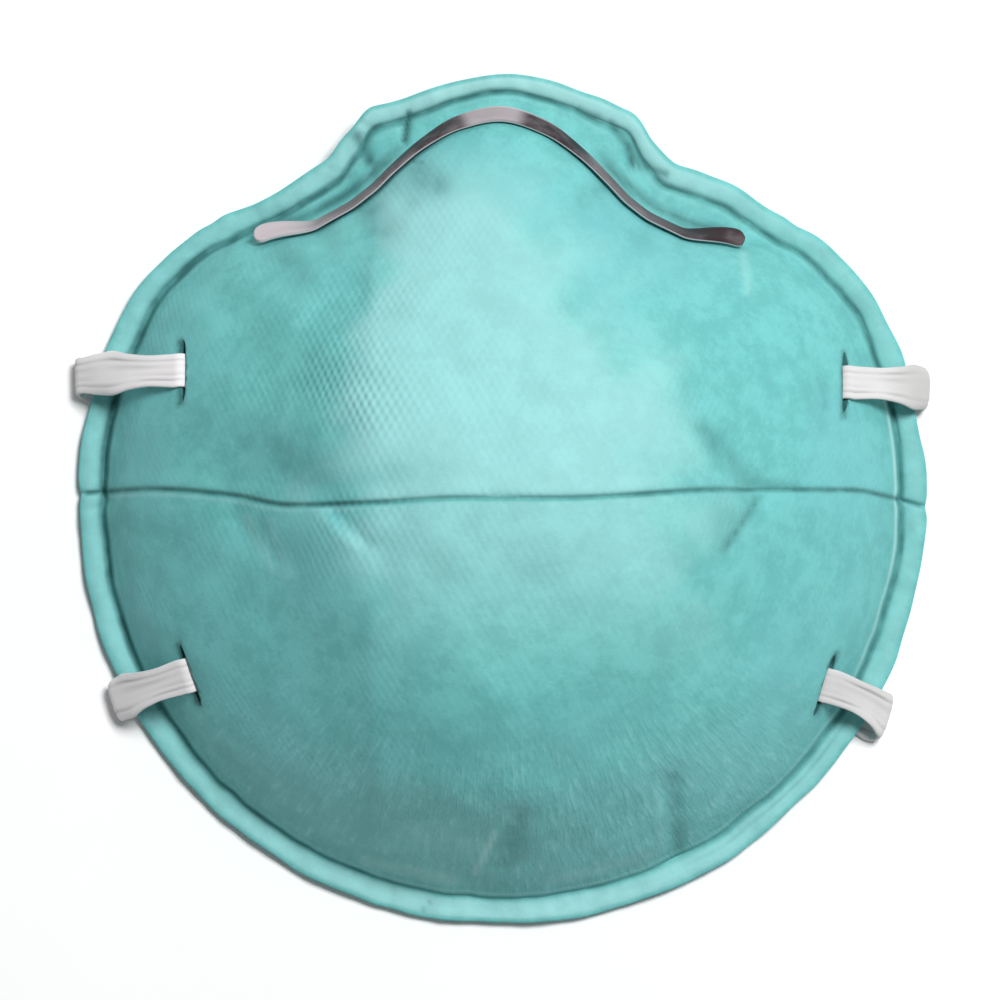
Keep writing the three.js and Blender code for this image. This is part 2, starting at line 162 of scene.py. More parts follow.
@dataclass
class Surface:
    """A closed skin of rings of points with a pole at either end, and the marks that its material reads.

    A pole is x, y and z with its two cloth coordinates.
    """

    name: str
    rows: Array
    uv: Array
    first_pole: Array
    last_pole: Array
    marks: dict[str, Array]

    def build(self, material: bpy.types.Material) -> bpy.types.Object:
        """Writes the rings into a mesh: a quad between each two neighbours, a fan of triangles at each pole.

        Args:
            material: the piece's only material.

        Returns:
            The new object, at the origin, in metres.
        """
        count, width = self.rows.shape[:2]
        poles = np.stack([self.first_pole, self.last_pole])
        points = np.vstack([self.rows.reshape(-1, 3), poles[:, :3]])
        uv = np.vstack([self.uv.reshape(-1, 2), poles[:, 3:]])
        here = np.arange(width)
        beside = (here + 1) % width
        ring = np.arange(count - 1)[:, None] * width
        quads = np.stack([ring + here, ring + width + here, ring + width + beside, ring + beside], -1)
        first, last = np.full(width, count * width), (count - 1) * width
        fans = np.stack([[first, here, beside], [first + 1, last + beside, last + here]]).swapaxes(1, 2)
        loops = np.concatenate([quads.reshape(-1), fans.reshape(-1)]).astype(np.int32)
        sizes = np.repeat([4, 3], [(count - 1) * width, 2 * width])
        mesh = bpy.data.meshes.new(self.name)
        mesh.vertices.add(len(points))
        mesh.vertices.foreach_set("co", (points * MM).astype(np.float32).reshape(-1))
        mesh.loops.add(len(loops))
        mesh.loops.foreach_set("vertex_index", loops)
        mesh.polygons.add(len(sizes))
        mesh.polygons.foreach_set("loop_start", (np.cumsum(sizes) - sizes).astype(np.int32))
        mesh.update(calc_edges=True)
        mesh.uv_layers.new(name="cloth").data.foreach_set("uv", uv[loops].astype(np.float32).reshape(-1))
        for key, value in self.marks.items():
            padded = np.concatenate([value.reshape(-1), [value[0].mean(), value[-1].mean()]])
            mesh.attributes.new(key, "FLOAT", "POINT").data.foreach_set("value", padded.astype(np.float32))
        mesh.polygons.foreach_set("use_smooth", np.ones(len(sizes), dtype=bool))
        mesh.update()
        mesh.validate()
        mesh.materials.append(material)
        piece = bpy.data.objects.new(self.name, mesh)
        bpy.context.scene.collection.objects.link(piece)
        return piece


@dataclass
class Band:
    """A flat strip swept along a line: at each stop its middle, the way across and the way off its face."""

    name: str
    middle: Array
    across_way: Array
    off_face: Array
    run: Array
    width: float

    def rows(self, across: Array, half: Array, rise: Array) -> Array:
        """Points of the strip: its middle, plus the share across times half the width, plus the rise."""
        return (self.middle[:, None] + self.across_way[:, None] * across[None, :, None] * half[:, None, None]
                + self.off_face[:, None] * rise[..., None])

    def build(self, rows: Array, across: Array, marks: dict[str, Array],
              material: bpy.types.Material) -> bpy.types.Object:
        """Closes the rows at both ends, with the length along and the way across as cloth coordinates.

        Args:
            rows: the strip's rings of points.
            across: each ring point's place across the strip, from -1 to 1.
            marks: what the material reads at each point.
            material: the piece's only material.

        Returns:
            The new object.
        """
        uv = np.stack(np.broadcast_arrays(self.run[:, None], (across * self.width / 2)[None]), -1) / UV_UNIT
        tips = [np.concatenate([self.middle[k], uv[k].mean(axis=0)]) for k in (0, -1)]
        piece = Surface(self.name, rows, uv, *tips, marks).build(material)
        LOG.info("%s: %.0f mm long, %d faces", self.name, self.run[-1], len(piece.data.polygons))
        return piece


# ---- materials


class Sketch:
    """A material's node tree, drawn with short calls."""

    def __init__(self, name: str) -> None:
        """Starts an empty material with one shader wired to the output.

        Args:
            name: the material's name.
        """
        self.material = bpy.data.materials.new(name)
        self.material.use_nodes = True
        self.tree = self.material.node_tree
        self.tree.nodes.clear()
        self.shader = self.tree.nodes.new("ShaderNodeBsdfPrincipled")
        output = self.tree.nodes.new("ShaderNodeOutputMaterial")
        self.tree.links.new(self.shader.outputs[0], output.inputs["Surface"])

    def node(self, kind: str, inputs: dict | None = None, **settings: object) -> bpy.types.Node:
        """Adds a node.

        Args:
            kind: the node's type without the ShaderNode prefix.
            inputs: socket name or number to a value or to another node's output socket.
            settings: the node's own properties.

        Returns:
            The node.
        """
        made = self.tree.nodes.new("ShaderNode" + kind)
        for key, value in settings.items():
            setattr(made, key, value)
        for key, value in (inputs or {}).items():
            self.plug(made.inputs[key], value)
        return made

    def plug(self, socket: Socket, value: object) -> None:
        """Links an output to a socket, or sets the socket's own value.

        Args:
            socket: the input to feed.
            value: another node's output, or a plain value.
        """
        if isinstance(value, Socket):
            self.tree.links.new(value, socket)
        else:
            socket.default_value = value

    def math(self, operation: str, a: object, b: object = 0.0, c: object = 0.0) -> Socket:
        """One arithmetic step on numbers or sockets."""
        return self.node("Math", {0: a, 1: b, 2: c}, operation=operation).outputs[0]

    def times(self, a: object, b: object) -> Socket:
        """Product of two numbers or sockets."""
        return self.math("MULTIPLY", a, b)

    def place(self) -> Socket:
        """The object's own coordinates, in metres."""
        return self.node("TexCoord").outputs["Object"]

    def cloth(self) -> Socket:
        """The piece's cloth coordinates."""
        return self.node("UVMap", uv_map="cloth").outputs[0]

    def parts(self, vector: Socket) -> Sequence[Socket]:
        """A vector's three numbers."""
        return self.node("SeparateXYZ", {0: vector}).outputs

    def mark(self, name: str) -> Socket:
        """A number that the mesh carries at each point."""
        return self.node("Attribute", attribute_name=name).outputs["Fac"]

    def mix(self, factor: object, a: object, b: object) -> Socket:
        """Mixes two colours, given as sockets or as tuples of red, green and blue.

        Args:
            factor: how much there is of the second colour, from 0 to 1.
            a: the first colour.
            b: the second colour.

        Returns:
            The mixed colour.
        """
        made = self.node("Mix", {"Factor": factor}, data_type="RGBA")
        for socket, colour in ((made.inputs[6], a), (made.inputs[7], b)):
            self.plug(socket, colour if isinstance(colour, Socket) else (*colour, 1.0))
        return made.outputs[2]

    def noise(self, where: object, scale: float, detail: float = 2.0, rough: float = 0.5) -> Socket:
        """Soft noise between 0 and 1 over a coordinate."""
        made = self.node("TexNoise", {"Vector": where, "Scale": scale, "Detail": detail, "Roughness": rough})
        return made.outputs["Fac"]

    def spread(self, value: object, low: float, high: float, to_low: float = 0.0,
               to_high: float = 1.0) -> Socket:
        """Rescales a range smoothly onto another, held at its ends.

        Args:
            value: the number to rescale.
            low: where the range starts.
            high: where it ends.
            to_low: what the start becomes.
            to_high: what the end becomes.

        Returns:
            The rescaled number.
        """
        made = self.node("MapRange", {0: value, 1: low, 2: high, 3: to_low, 4: to_high})
        made.interpolation_type = "SMOOTHSTEP"
        return made.outputs[0]

    def bump(self, height: object, distance: float, strength: float = 1.0,
             under: object | None = None) -> Socket:
        """Turns a height into a bent normal, on top of another one where given.

        Args:
            height: the height, from 0 to 1.
            distance: how far 1 stands out, in metres, or lies in where it is negative.
            strength: how much of the bend is used.
            under: the normal to bend further.

        Returns:
            The bent normal.
        """
        inputs = {"Height": height, "Distance": distance, "Strength": strength}
        if under is not None:
            inputs["Normal"] = under
        return self.node("Bump", inputs).outputs[0]

    def dress(self, **values: object) -> bpy.types.Material:
        """Sets the shader's sockets and returns the material.

        Args:
            values: socket name, with underscores for spaces, to a value or to a node's output.

        Returns:
            The finished material.
        """
        for key, value in values.items():
            socket = self.shader.inputs[key.replace("_", " ")]
            if isinstance(value, tuple) and len(value) == 3 and socket.type == "RGBA":
                value = (*value, 1.0)
            self.plug(socket, value)
        return self.material


@dataclass(frozen=True)
class EmbossedCloth:
    """Matt non-woven cloth with a fine diamond emboss, lighter and smoother where the rim is welded, with
    painted shade and painted highlights.
    """

    slot: str = "cup_fabric"
    base: Colour = (0.172, 0.580, 0.565)
    dim: Colour = (0.125, 0.470, 0.460)
    cool: Colour = (0.185, 0.550, 0.580)
    # Colour of the painted highlights, and of the flange's own paler cloth.
    pale: Colour = (0.49, 0.83, 0.82)
    # Colour of the painted shade.
    painted_shade: Colour = (0.022, 0.125, 0.125)
    diamond: float = 1.45

    def material(self) -> bpy.types.Material:
        """Builds the cloth: tints from slow noise, a diamond emboss, spoke-wise streaks and short fibres, and
        painted shade and painted highlights from the marks that the mesh carries.

        The emboss is the sum of two cosine waves that cross at a slant, high where both are high. The
        streaks are noise over the direction and the distance from the top, drawn out along the distance.

        Returns:
            The cup's material.
        """
        s = Sketch("embossed_cloth")
        uv, place = s.cloth(), s.place()
        side, up, _ = s.parts(uv)
        pale, painted_shade, pressed, drawn = (s.mark(name) for name in ("pale", "painted_shade", "pressed", "drawn"))
        turn = 2 * math.pi * UV_UNIT / self.diamond
        across, along = s.times(side, turn), s.times(up, turn * 0.56)
        waves = [s.math("COSINE", s.math(way, across, along)) for way in ("ADD", "SUBTRACT")]
        diamonds = s.math("MULTIPLY_ADD", s.math("ADD", *waves), 0.25, 0.5)
        patches = s.spread(s.noise(place, 75.0), 0.38, 0.62, 0.25, 1.0)
        emboss = s.times(s.times(diamonds, patches), pressed)
        direction = s.times(s.math("ARCTAN2", side, up), 24.0)
        distance = s.times(s.node("VectorMath", {0: uv}, operation="LENGTH").outputs["Value"], 6.0)
        threads = s.noise(s.node("CombineXYZ", {0: direction, 1: distance}).outputs[0], 2.4, 4.0, 0.7)
        streaks = s.times(s.spread(threads, 0.42, 0.66), drawn)
        # Painted highlights: pale streaks among the threads.
        glints = s.times(s.spread(threads, 0.46, 0.34, 0.0, 0.26), drawn)
        fibres = s.noise(uv, 300.0, 3.0, 0.7)
        crumple = s.noise(place, 420.0, 3.0, 0.6)

        mottle = s.spread(s.noise(place, 170.0, 5.0, 0.78), 0.38, 0.62, 0.0, 0.85)
        tint = s.spread(s.noise(place, 34.0), 0.45, 0.7, 0.0, 0.5)
        shade_unevenness = s.spread(s.noise(place, 240.0), 0.34, 0.62, 0.75, 1.1)
        colour = s.mix(mottle, self.base, self.dim)
        colour = s.mix(tint, colour, self.cool)
        colour = s.mix(s.times(streaks, 0.45), colour, self.dim)
        colour = s.mix(s.times(emboss, 0.4), colour, self.dim)
        # Painted highlights from the pale mark and the glints; on the flange partly its own paler colour.
        colour = s.mix(s.math("MAXIMUM", pale, glints), colour, self.pale)
        # Painted shade in the groove, the seam and the folds, beside the clip, on the flange's sides and at
        # the slits, unevenly strong in patches.
        colour = s.mix(s.times(painted_shade, shade_unevenness), colour, self.painted_shade)

        normal = s.bump(emboss, -0.00024, 0.9)
        normal = s.bump(streaks, -0.00016, 0.5, normal)
        normal = s.bump(crumple, 0.00035, 0.35, normal)
        normal = s.bump(fibres, 0.00004, 0.5, normal)
        rough = s.math("MULTIPLY_ADD", pressed, -0.14, s.spread(fibres, 0.2, 0.8, 0.68, 0.80))
        return s.dress(Base_Color=colour, Roughness=rough, Normal=normal, Specular_IOR_Level=0.45)


@dataclass(frozen=True)
class RolledStrip:
    """Soft aluminium strip: pale along its rolled edges, with a painted dark brownish reflection on its face.
    """

    slot: str = "clip_metal"
    edge: Colour = (0.66, 0.59, 0.62)
    # Colour of the painted dark reflection on the face.
    face: Colour = (0.045, 0.026, 0.030)

    def material(self) -> bpy.types.Material:
        """Builds the metal: a painted dark reflection on the face, uneven in patches, and fine scratches
        along the strip.

        Returns:
            The clip's material.
        """
        s = Sketch("rolled_strip")
        long_grain = s.node("Mapping", {"Vector": s.cloth(), "Scale": (6.0, 220.0, 1.0)}).outputs[0]
        grain = s.noise(long_grain, 4.0, 3.0, 0.6)
        reflection_patches = s.noise(s.place(), 220.0, 3.0, 0.6)
        painted_reflection = s.times(s.mark("face"), s.spread(reflection_patches, 0.3, 0.6, 0.86, 1.0))
        colour = s.mix(painted_reflection, self.edge, self.face)
        rough = s.spread(grain, 0.3, 0.7, 0.30, 0.5)
        return s.dress(Base_Color=colour, Metallic=0.08, Roughness=rough, IOR=1.14,
                       Normal=s.bump(grain, 0.00002, 0.5))


@dataclass(frozen=True)
class BraidedElastic:
    """White braided elastic: matt yarn in fine slanted stitches over the lengthwise ribs."""

    slot: str = "strap_elastic"
    yarn: Colour = (0.86, 0.84, 0.85)
    right_shade: Colour = (0.52, 0.52, 0.51)
    # Colour of the painted shade in the hollows between the ribs.
    hollow: Colour = (0.33, 0.32, 0.33)
    soiled: Colour = (0.66, 0.68, 0.64)
    pitch: float = 0.5

    def material(self) -> bpy.types.Material:
        """Builds the yarn: slanted stitches along each rib, painted shade in the hollows between the ribs.

        A stitch is a sine wave over the length plus 1.3 times the way across. Painted shade greys the tabs on
        the right, and the loops' outer ends there once more.

        Returns:
            The straps' material.
        """
        s = Sketch("braided_elastic")
        place = s.place()
        length, breadth, _ = s.parts(s.cloth())
        along, ribs = s.times(length, UV_UNIT / self.pitch), s.times(breadth, UV_UNIT)
        stitch = s.math("SINE", s.times(s.math("MULTIPLY_ADD", ribs, 1.3, along), 2 * math.pi))
        height = s.math("MULTIPLY_ADD", stitch, 0.5, 0.5)
        fuzz = s.noise(place, 2600.0, 2.0, 0.6)
        soil = s.spread(s.noise(place, 150.0), 0.35, 0.7, 0.0, 0.2)
        right, _, _ = s.parts(place)
        # Painted shade: greyer on the tabs on the right, and once more on the loops' outer ends there.
        right_shade_share = s.math("ADD", s.spread(right, 0.03, 0.05, 0.0, 0.4), s.spread(right, 0.060, 0.067, 0.0, 0.4))
        colour = s.mix(s.mark("between"), self.yarn, self.hollow)
        colour = s.mix(soil, colour, self.soiled)
        colour = s.mix(right_shade_share, colour, self.right_shade)
        normal = s.bump(height, 0.00004, 0.5)
        normal = s.bump(fuzz, 0.00003, 0.5, normal)
        return s.dress(Base_Color=colour, Roughness=0.8, Normal=normal, Sheen_Weight=0.2,
                       Sheen_Roughness=0.5, Specular_IOR_Level=0.3)


# ---- the cup's form


class FoldShape(Enum):
    """How a fold's depth fades away from its line."""

    SOFT = "soft"
    SHARP = "sharp"


@dataclass(frozen=True)
class Fold:
    """A fold, dent or sharp fold line of the cup from x, y to to_x, to_y in plan. A negative depth stands
    out.

    Tone is the painted shade along it, or the painted highlight where it is negative.
    """

    x: float
    y: float
    to_x: float
    to_y: float
    half_width: float
    depth: float
    tone: float = 0.0
    shape: FoldShape = FoldShape.SOFT

    def share(self, x: Array, y: Array) -> Array:
        """How much of the fold there is at each place, from 0 to 1.

        It is 1 on the line between the ends. A soft fold fades as a bell curve of the distance over the
        half width, and a sharp one as e to the power of minus that share.

        Args:
            x: plan places to the right.
            y: plan places towards the nose.

        Returns:
            The fold's share at each place.
        """
        dx, dy = self.to_x - self.x, self.to_y - self.y
        along = np.clip(((x - self.x) * dx + (y - self.y) * dy) / (dx * dx + dy * dy), 0, 1)
        away = np.hypot(x - self.x - along * dx, y - self.y - along * dy) / self.half_width
        return bell(away) if self.shape is FoldShape.SOFT else np.exp(-away)


@dataclass
class Ripple:
    """Slow unevenness of a surface: a sum of plane waves with seeded directions, lengths and phases."""

    seed: int
    amplitude: float
    shortest: float
    longest: float
    waves: int = 40

    def __post_init__(self) -> None:
        """Draws the waves once."""
        draw = np.random.default_rng(self.seed)
        length = self.shortest * (self.longest / self.shortest) ** draw.random(self.waves)
        heading = draw.random(self.waves) * 2 * math.pi
        self.kx = 2 * math.pi * np.cos(heading) / length
        self.ky = 2 * math.pi * np.sin(heading) / length
        self.phase = draw.random(self.waves) * 2 * math.pi
        self.size = self.amplitude * np.sqrt(length / self.longest) * math.sqrt(2 / self.waves)

    def at(self, x: Array, y: Array) -> Array:
        """Sum over the waves of size times the cosine of the wave's phase at each place.

        Args:
            x: places along one way of the surface.
            y: places along the other.

        Returns:
            The rise at each place.
        """
        total = np.zeros(np.broadcast(x, y).shape)
        for kx, ky, phase, size in zip(self.kx, self.ky, self.phase, self.size):
            total += size * np.cos(kx * x + ky * y + phase)
        return total


SECTION_COLUMNS = ("turn", "rim", "lift", "foot", "foot_up", "brow", "brow_up", "flank_up", "crown_up")
SECTION_ROWS = (
    (0, 67.8, 7.0, 62.0, 10.4, 58.9, 16.6, 29.0, 41.6),
    (6, 67.2, 6.8, 60.6, 10.4, 57.8, 16.6, 29.0, 41.6),
    (12, 66.2, 6.3, 57.5, 10.3, 55.7, 16.5, 29.1, 41.8),
    (18, 65.6, 5.6, 54.3, 10.2, 53.0, 16.4, 29.3, 42.0),
    (23, 62.6, 5.0, 52.2, 9.8, 51.0, 16.0, 29.5, 42.4),
    (28, 60.6, 4.4, 51.4, 9.4, 50.2, 15.6, 29.7, 42.8),
    (34, 61.4, 3.6, 51.8, 8.8, 50.5, 15.0, 29.7, 43.2),
    (42, 62.7, 2.4, 55.9, 7.4, 54.1, 13.4, 29.5, 43.8),
    (48, 64.9, 1.6, 59.4, 6.8, 56.7, 12.6, 29.2, 44.2),
    (54, 66.4, 0.9, 60.6, 6.4, 57.6, 12.0, 28.9, 44.6),
    (62, 67.8, 0.2, 61.9, 6.2, 58.9, 11.6, 28.4, 44.9),
    (90, 67.8, 0.0, 61.9, 6.2, 58.9, 11.6, 28.0, 45.2),
    (135, 67.8, 0.0, 61.9, 6.3, 58.9, 11.9, 30.4, 45.4),
    (180, 67.8, 0.0, 61.9, 6.4, 58.9, 12.2, 34.0, 45.8),
)

RIM_KINKS = (
    (24, -0.7, 4.5), (-24, 0.7, 5), (38, 0.6, 5), (-37, -0.7, 5), (-19.5, 0.5, 2.2),
    (47, -0.35, 1.6), (-46.5, -0.35, 1.6), (90, -0.3, 1.0), (-90, -0.3, 1.0),
)

SHARP = FoldShape.SHARP
FOLDS = [Fold(*row) for row in (
    (29, 14, 40, 2, 3.4, 0.8),
    (40, 1, 34, -8, 3, 0.8),
    (-33, 2, -17, 0, 4.5, 0.9),
    (-26, -1, -19, -8, 2.6, 0.7),
    (-41, -3, -35, -9, 2.6, 0.6),
    (26, -46, 27, -57, 2.6, 0.8),
    (1, -50, -5, -60, 3, 0.9),
    (50, 21, 50, 11, 2.2, 0.5),
    (-13, 51, -19, 41, 2.2, 0.6),
    (17, 48, 22, 42, 2, 0.5),
)]

# The seventh number of a row is painted shade along the fold where positive and a painted highlight where
# negative; rows with depth 0 are paint only.
FINE_FOLDS = [Fold(*row) for row in (
    (26.6, -44, 28, -56, 1.3, 0.7, 0.28),
    (2.4, -50.4, 0.4, -58, 2, 0.8, 0.26),
    (-7, -57, -3, -60, 2.4, 0, 0.12),
    (-1.2, -52.4, -4.4, -59.4, 0.6, -0.3, -0.5),
    (24.2, -46, 25.6, -56, 0.7, -0.3, -0.16),
    (-16, -52, -5, -54.4, 2.4, 0, -0.16),
    (-22, -57.6, -8, -60.6, 1.3, 0, -0.26),
    (8, -60.8, 24, -56.6, 1.2, 0, -0.2),
    (13.5, -56, 12.5, -60.2, 1.2, 0.3),
    (-16, -53, -21, -58, 1.6, 0.35),
    (-14.9, 61.6, -15.6, 57.2, 0.65, 0.5, 0.95),
    (-23.2, 58, -21.2, 53.8, 0.95, 0.5, 0.9),
    (-20.4, 58.6, -15.6, 60.4, 0.5, 0.3, 0.3),
    (-27.5, 53.2, -24.6, 51.6, 0.8, 0.3, 0.25),
    (17.2, 60, 19.8, 57, 0.8, 0.5, 0.85),
    (19.8, 57, 20.8, 53.6, 0.8, 0.5, 0.85),
    (20.8, 53.6, 26, 52, 0.7, 0.3, 0.6),
    (38.2, 39, 38.7, 33, 0.8, -0.3, -0.22),
    (12.4, 62, 15.2, 60.8, 0.8, 0.3, 0.6),
    (-14, 53.6, -12.8, 53.3, 0.5, 0.1, 0.55),
    (-13.4, 51.8, -10.4, 49.4, 2.4, 0.3, 0.42),
    (-16.8, 49.2, -14.6, 47.2, 1.7, 0.3, 0.14),
    (-21, 46, -19.4, 42.6, 2.5, 0.45, 0.4),
    (-28.2, 43, -27, 40, 2.2, 0.3, 0.18),
    (-35, 38.8, -32.4, 35.4, 3, 0.3, 0.3),
    (16, 49.8, 13, 47.6, 2, 0.25, 0.22),
    (24, 43.6, 21.4, 41, 1.9, 0.3, 0.1),
    (-47, 12, -30, 6, 5.4, 0, 0.24),
    (-38, 24, -30, 20, 4, 0, 0.12),
    (-59, -4.6, -49, -7.6, 4.6, 0, 0.15),
    (-37, -4.2, -31, -8, 3.2, 0, 0.1),
    (-47, -20, -38, -27, 4, 0, 0.07),
    (37, -4, 48, -8, 4.5, 0, 0.07),
    (50, 21, 50.3, 11, 0.8, 0.3, 0.12, SHARP),
    (31, 11, 38.6, 2.6, 1.6, 0.7, 0.32),
    (38.4, 2.4, 46, 1.8, 1.1, 0.35, 0.26),
    (40.2, 0.4, 34.4, -8, 0.7, 0.6, 0.62, SHARP),
    (-26, -1.6, -20.6, -7, 0.9, 0.5, 0.16),
    (-29.4, -1.6, -23.4, -7.4, 0.8, -0.32, -0.16),
    (-39.8, -3, -36, -11, 0.9, -0.4, -0.16),
    (-36.2, -3.4, -33.6, -12, 0.8, -0.3, -0.12),
    (-41, -3.2, -35.6, -9.4, 0.9, 0.3, 0.08, SHARP),
    (-51.05, 25.2, -50.9, 15.2, 0.55, 0.2, 0.85),
    (-51.3, -22.9, -48.5, -32.3, 0.6, 0.2, 0.8),
    (54.3, 23.3, 54, 13.3, 0.55, 0.2, 0.85),
    (53, -24.5, 50.1, -33.9, 0.55, 0.2, 0.75),
    (50.6, 19, 50.9, 14.5, 0.7, 0.2, 0.25),
)]

# Their seventh number is painted shade along the fold.
RIM_FOLDS = [Fold(*row) for row in (
    (-68.2, 0.9, -63.9, 1.2, 0.32, 0.3, 0.5, SHARP),
    (-68.2, -1.5, -64.4, -1.1, 0.32, 0.22, 0.25, SHARP),
    (68.2, -1.3, 63.8, -0.2, 0.32, 0.3, 0.45, SHARP),
    (-13.6, -66.8, -11.6, -64.4, 0.4, 0.28, 0.4, SHARP),
    (9, -65.6, 11.6, -63.6, 0.6, 0.25, 0.15),
    (14.2, -64.8, 16, -62.8, 0.6, 0.25, 0.12),
    (-22.8, 60.4, -20.2, 58.6, 0.5, 0.25, 0.15),
)]

SEAM_POINTS = ((-68, 1.0), (-55, 1.7), (-43, 0.8), (-33, -0.8), (-20, -0.4), (-7, 0.3), (9, 0.3), (20, 0.8),
               (34, 1.6), (55, 1.5), (61.5, 0.5), (68, -1.2))


@dataclass
class CupForm:
    """The cup's outside as a height over its plan, with the rim's plan and levels."""

    depth: float
    underside: float = 1.2
    wall: float = 1.8
    crown: float = 24.0
    flank_base: float = 22.0
    flank_share: float = 0.375
    flange_thick: float = 1.1
    flange_width: float = 4.2
    nose_width: float = 3.2
    nose_turn: float = 16.0
    nose_lean: float = 1.3
    ridge_left: float = 20.0
    ridge_right: float = 26.0
    cheek_left: float = 2.5
    cheek_right: float = 1.8
    cheek_skew: float = 0.75
    cheek_fade: float = 1.5
    fold_fade: float = 4.0
    weld_hold: float = 0.6
    chin_calm: float = 0.75
    chin_turn: float = 42.0
    groove_deep: float = 0.42
    groove_place: float = 0.45
    groove_half: float = 0.36
    valley_deep: float = 0.30
    valley_place: float = 0.4
    valley_half: float = 1.2
    crest: float = 2.4
    edge_drop: float = 0.5
    lip_high: float = 0.36
    lip_inset: float = 0.55
    lip_half: float = 0.38
    seam_deep: float = 0.36
    seam_half: float = 0.42
    seam_step: float = 0.16
    step_place: float = 1.2
    step_half: float = 1.1
    ripple_fade: float = 8.0
    ripple_radius: float = 60.0
    ripple: Ripple = field(default_factory=lambda: Ripple(7, 0.20, 7.0, 26.0))
    rim_ripple: Ripple = field(default_factory=lambda: Ripple(11, 0.18, 2.5, 20.0))
    edge_ripple: Ripple = field(default_factory=lambda: Ripple(23, 0.16, 5.0, 24.0))
    groove_ripple: Ripple = field(default_factory=lambda: Ripple(31, 0.14, 4.0, 18.0))

    def __post_init__(self) -> None:
        """Splits the section table into its columns."""
        table = np.array(SECTION_ROWS, dtype=float)
        self.columns = dict(zip(SECTION_COLUMNS, table.T))

    def column(self, key: str, turn: Array) -> Array:
        """One column of the section table at any turn, in degrees, the same on both sides."""
        return knot_curve(self.columns["turn"], self.columns[key], np.abs(turn), 0.0)

    def sections(self, turn: Array) -> dict[str, Array]:
        """Radii and levels of the radial sections at the given turns.

        Args:
            turn: the sections' angles in degrees from the nose, the right side positive.

        Returns:
            The rim's, groove's, foot's, brow's and flank's radii, the flange's underside, and the knots of
            the height curve as radii and levels.
        """
        rim = self.column("rim", turn)
        for place, out, spread in RIM_KINKS:
            rim = rim + out * bell((turn - place) / spread)
        round_x, round_y = (self.ripple_radius * share for share in heading(turn))
        narrow = (self.flange_width - self.nose_width) * bell(turn / self.nose_turn)
        groove = rim - self.flange_width + narrow + self.groove_ripple.at(round_x, round_y)
        rim = rim + self.edge_ripple.at(round_x, round_y)
        lean = self.nose_lean * np.sin(np.radians(3 * turn)) * bell(turn / 50)
        brow = self.column("brow", turn) - lean
        foot = self.column("foot", turn) - lean
        flank = self.flank_base + self.flank_share * brow
        under = self.underside + self.column("lift", turn)
        zero = np.zeros_like(rim)
        radii = np.stack([zero, zero + self.crown, flank, brow, foot, groove], -1)
        ups = [self.column(key, turn) for key in ("crown_up", "flank_up", "brow_up", "foot_up")]
        levels = np.stack([zero + self.depth, *ups, under + self.flange_thick], -1)
        return {"rim": rim, "groove": groove, "foot": foot, "brow": brow, "flank": flank, "under": under,
                "radii": radii, "levels": levels}

    def seam_line(self, x: Array) -> Array:
        """The seam's y over x: a smooth curve through its few points."""
        points = np.array(SEAM_POINTS, dtype=float)
        return knot_curve(points[:, 0], points[:, 1], np.clip(x, points[0, 0], points[-1, 0]))

    def cheek_sink(self, x: Array, radius: Array, brow: Array) -> Array:
        """How far the cheeks are flattened below the round dome.

        Along a radius the sink is the squared sine of the share of the way from the ridge's edge to the brow,
        times the cheek's depth, less where that way is short.

        Args:
            x: plan places to the right.
            radius: the same places' distance from the top.
            brow: radius of the brow in each place's direction.

        Returns:
            The sink at each place.
        """
        ridge = np.where(x < 0, self.ridge_left, self.ridge_right)
        depth = np.where(x < 0, self.cheek_left, self.cheek_right)
        edge = ridge * radius / np.maximum(np.abs(x), 1e-6)
        way = np.maximum(brow - edge, 1e-3)
        share = np.clip((radius - edge) / way, 0, 1)
        fade = (way / (brow - ridge)) ** self.cheek_fade
        return depth * fade * np.sin(math.pi * share**self.cheek_skew) ** 2

    def height(self, x: Array, y: Array) -> Array:
        """Height of the outside over plan places.

        Inside the weld groove it is the section's curve, outside it the flange's top. Folds, the seam, the
        groove, the lip inside it and the ripples are added as small rises and falls.

        Args:
            x: plan places to the right.
            y: plan places towards the nose.

        Returns:
            The height at each place.
        """
        radius = np.hypot(x, y)
        turn = np.degrees(np.arctan2(x, y))
        part = self.sections(turn)
        top = part["under"] + self.flange_thick
        wall = knot_curve(part["radii"], part["levels"], np.minimum(radius, part["groove"]), 0.0)
        z = np.where(radius < part["groove"], wall - self.cheek_sink(x, radius, part["brow"]), top)
        out = radius - part["groove"]
        held = 1 - self.weld_hold * bell((out - 0.6) / 1.6)
        inside = ease((self.fold_fade - out) / self.fold_fade) * held
        for fold in FOLDS + FINE_FOLDS:
            z = z - fold.depth * fold.share(x, y) * inside
        for fold in RIM_FOLDS:
            z = z - fold.depth * fold.share(x, y)
        above = y - self.seam_line(x)
        z = z - self.seam_deep * bell(above / self.seam_half)
        z = z + self.seam_step * bell((above - self.step_place) / self.step_half)
        calm = 1 - self.chin_calm * bell((np.abs(turn) - 180) / self.chin_turn)
        z = z - self.groove_deep * calm * bell((out - self.groove_place) / self.groove_half)
        z = z - self.valley_deep * calm * bell((out - self.valley_place) / self.valley_half)
        z = z - self.edge_drop * np.clip((out - self.crest) / (self.flange_width - self.crest), 0, 1.2) ** 2
        z = z + self.lip_high * bell((out + self.lip_inset) / self.lip_half)
        swell = ease((part["groove"] - radius) / self.ripple_fade)
        return z + self.ripple.at(x, y) * (0.15 + 0.85 * swell) + self.rim_ripple.at(x, y) * (1 - swell)

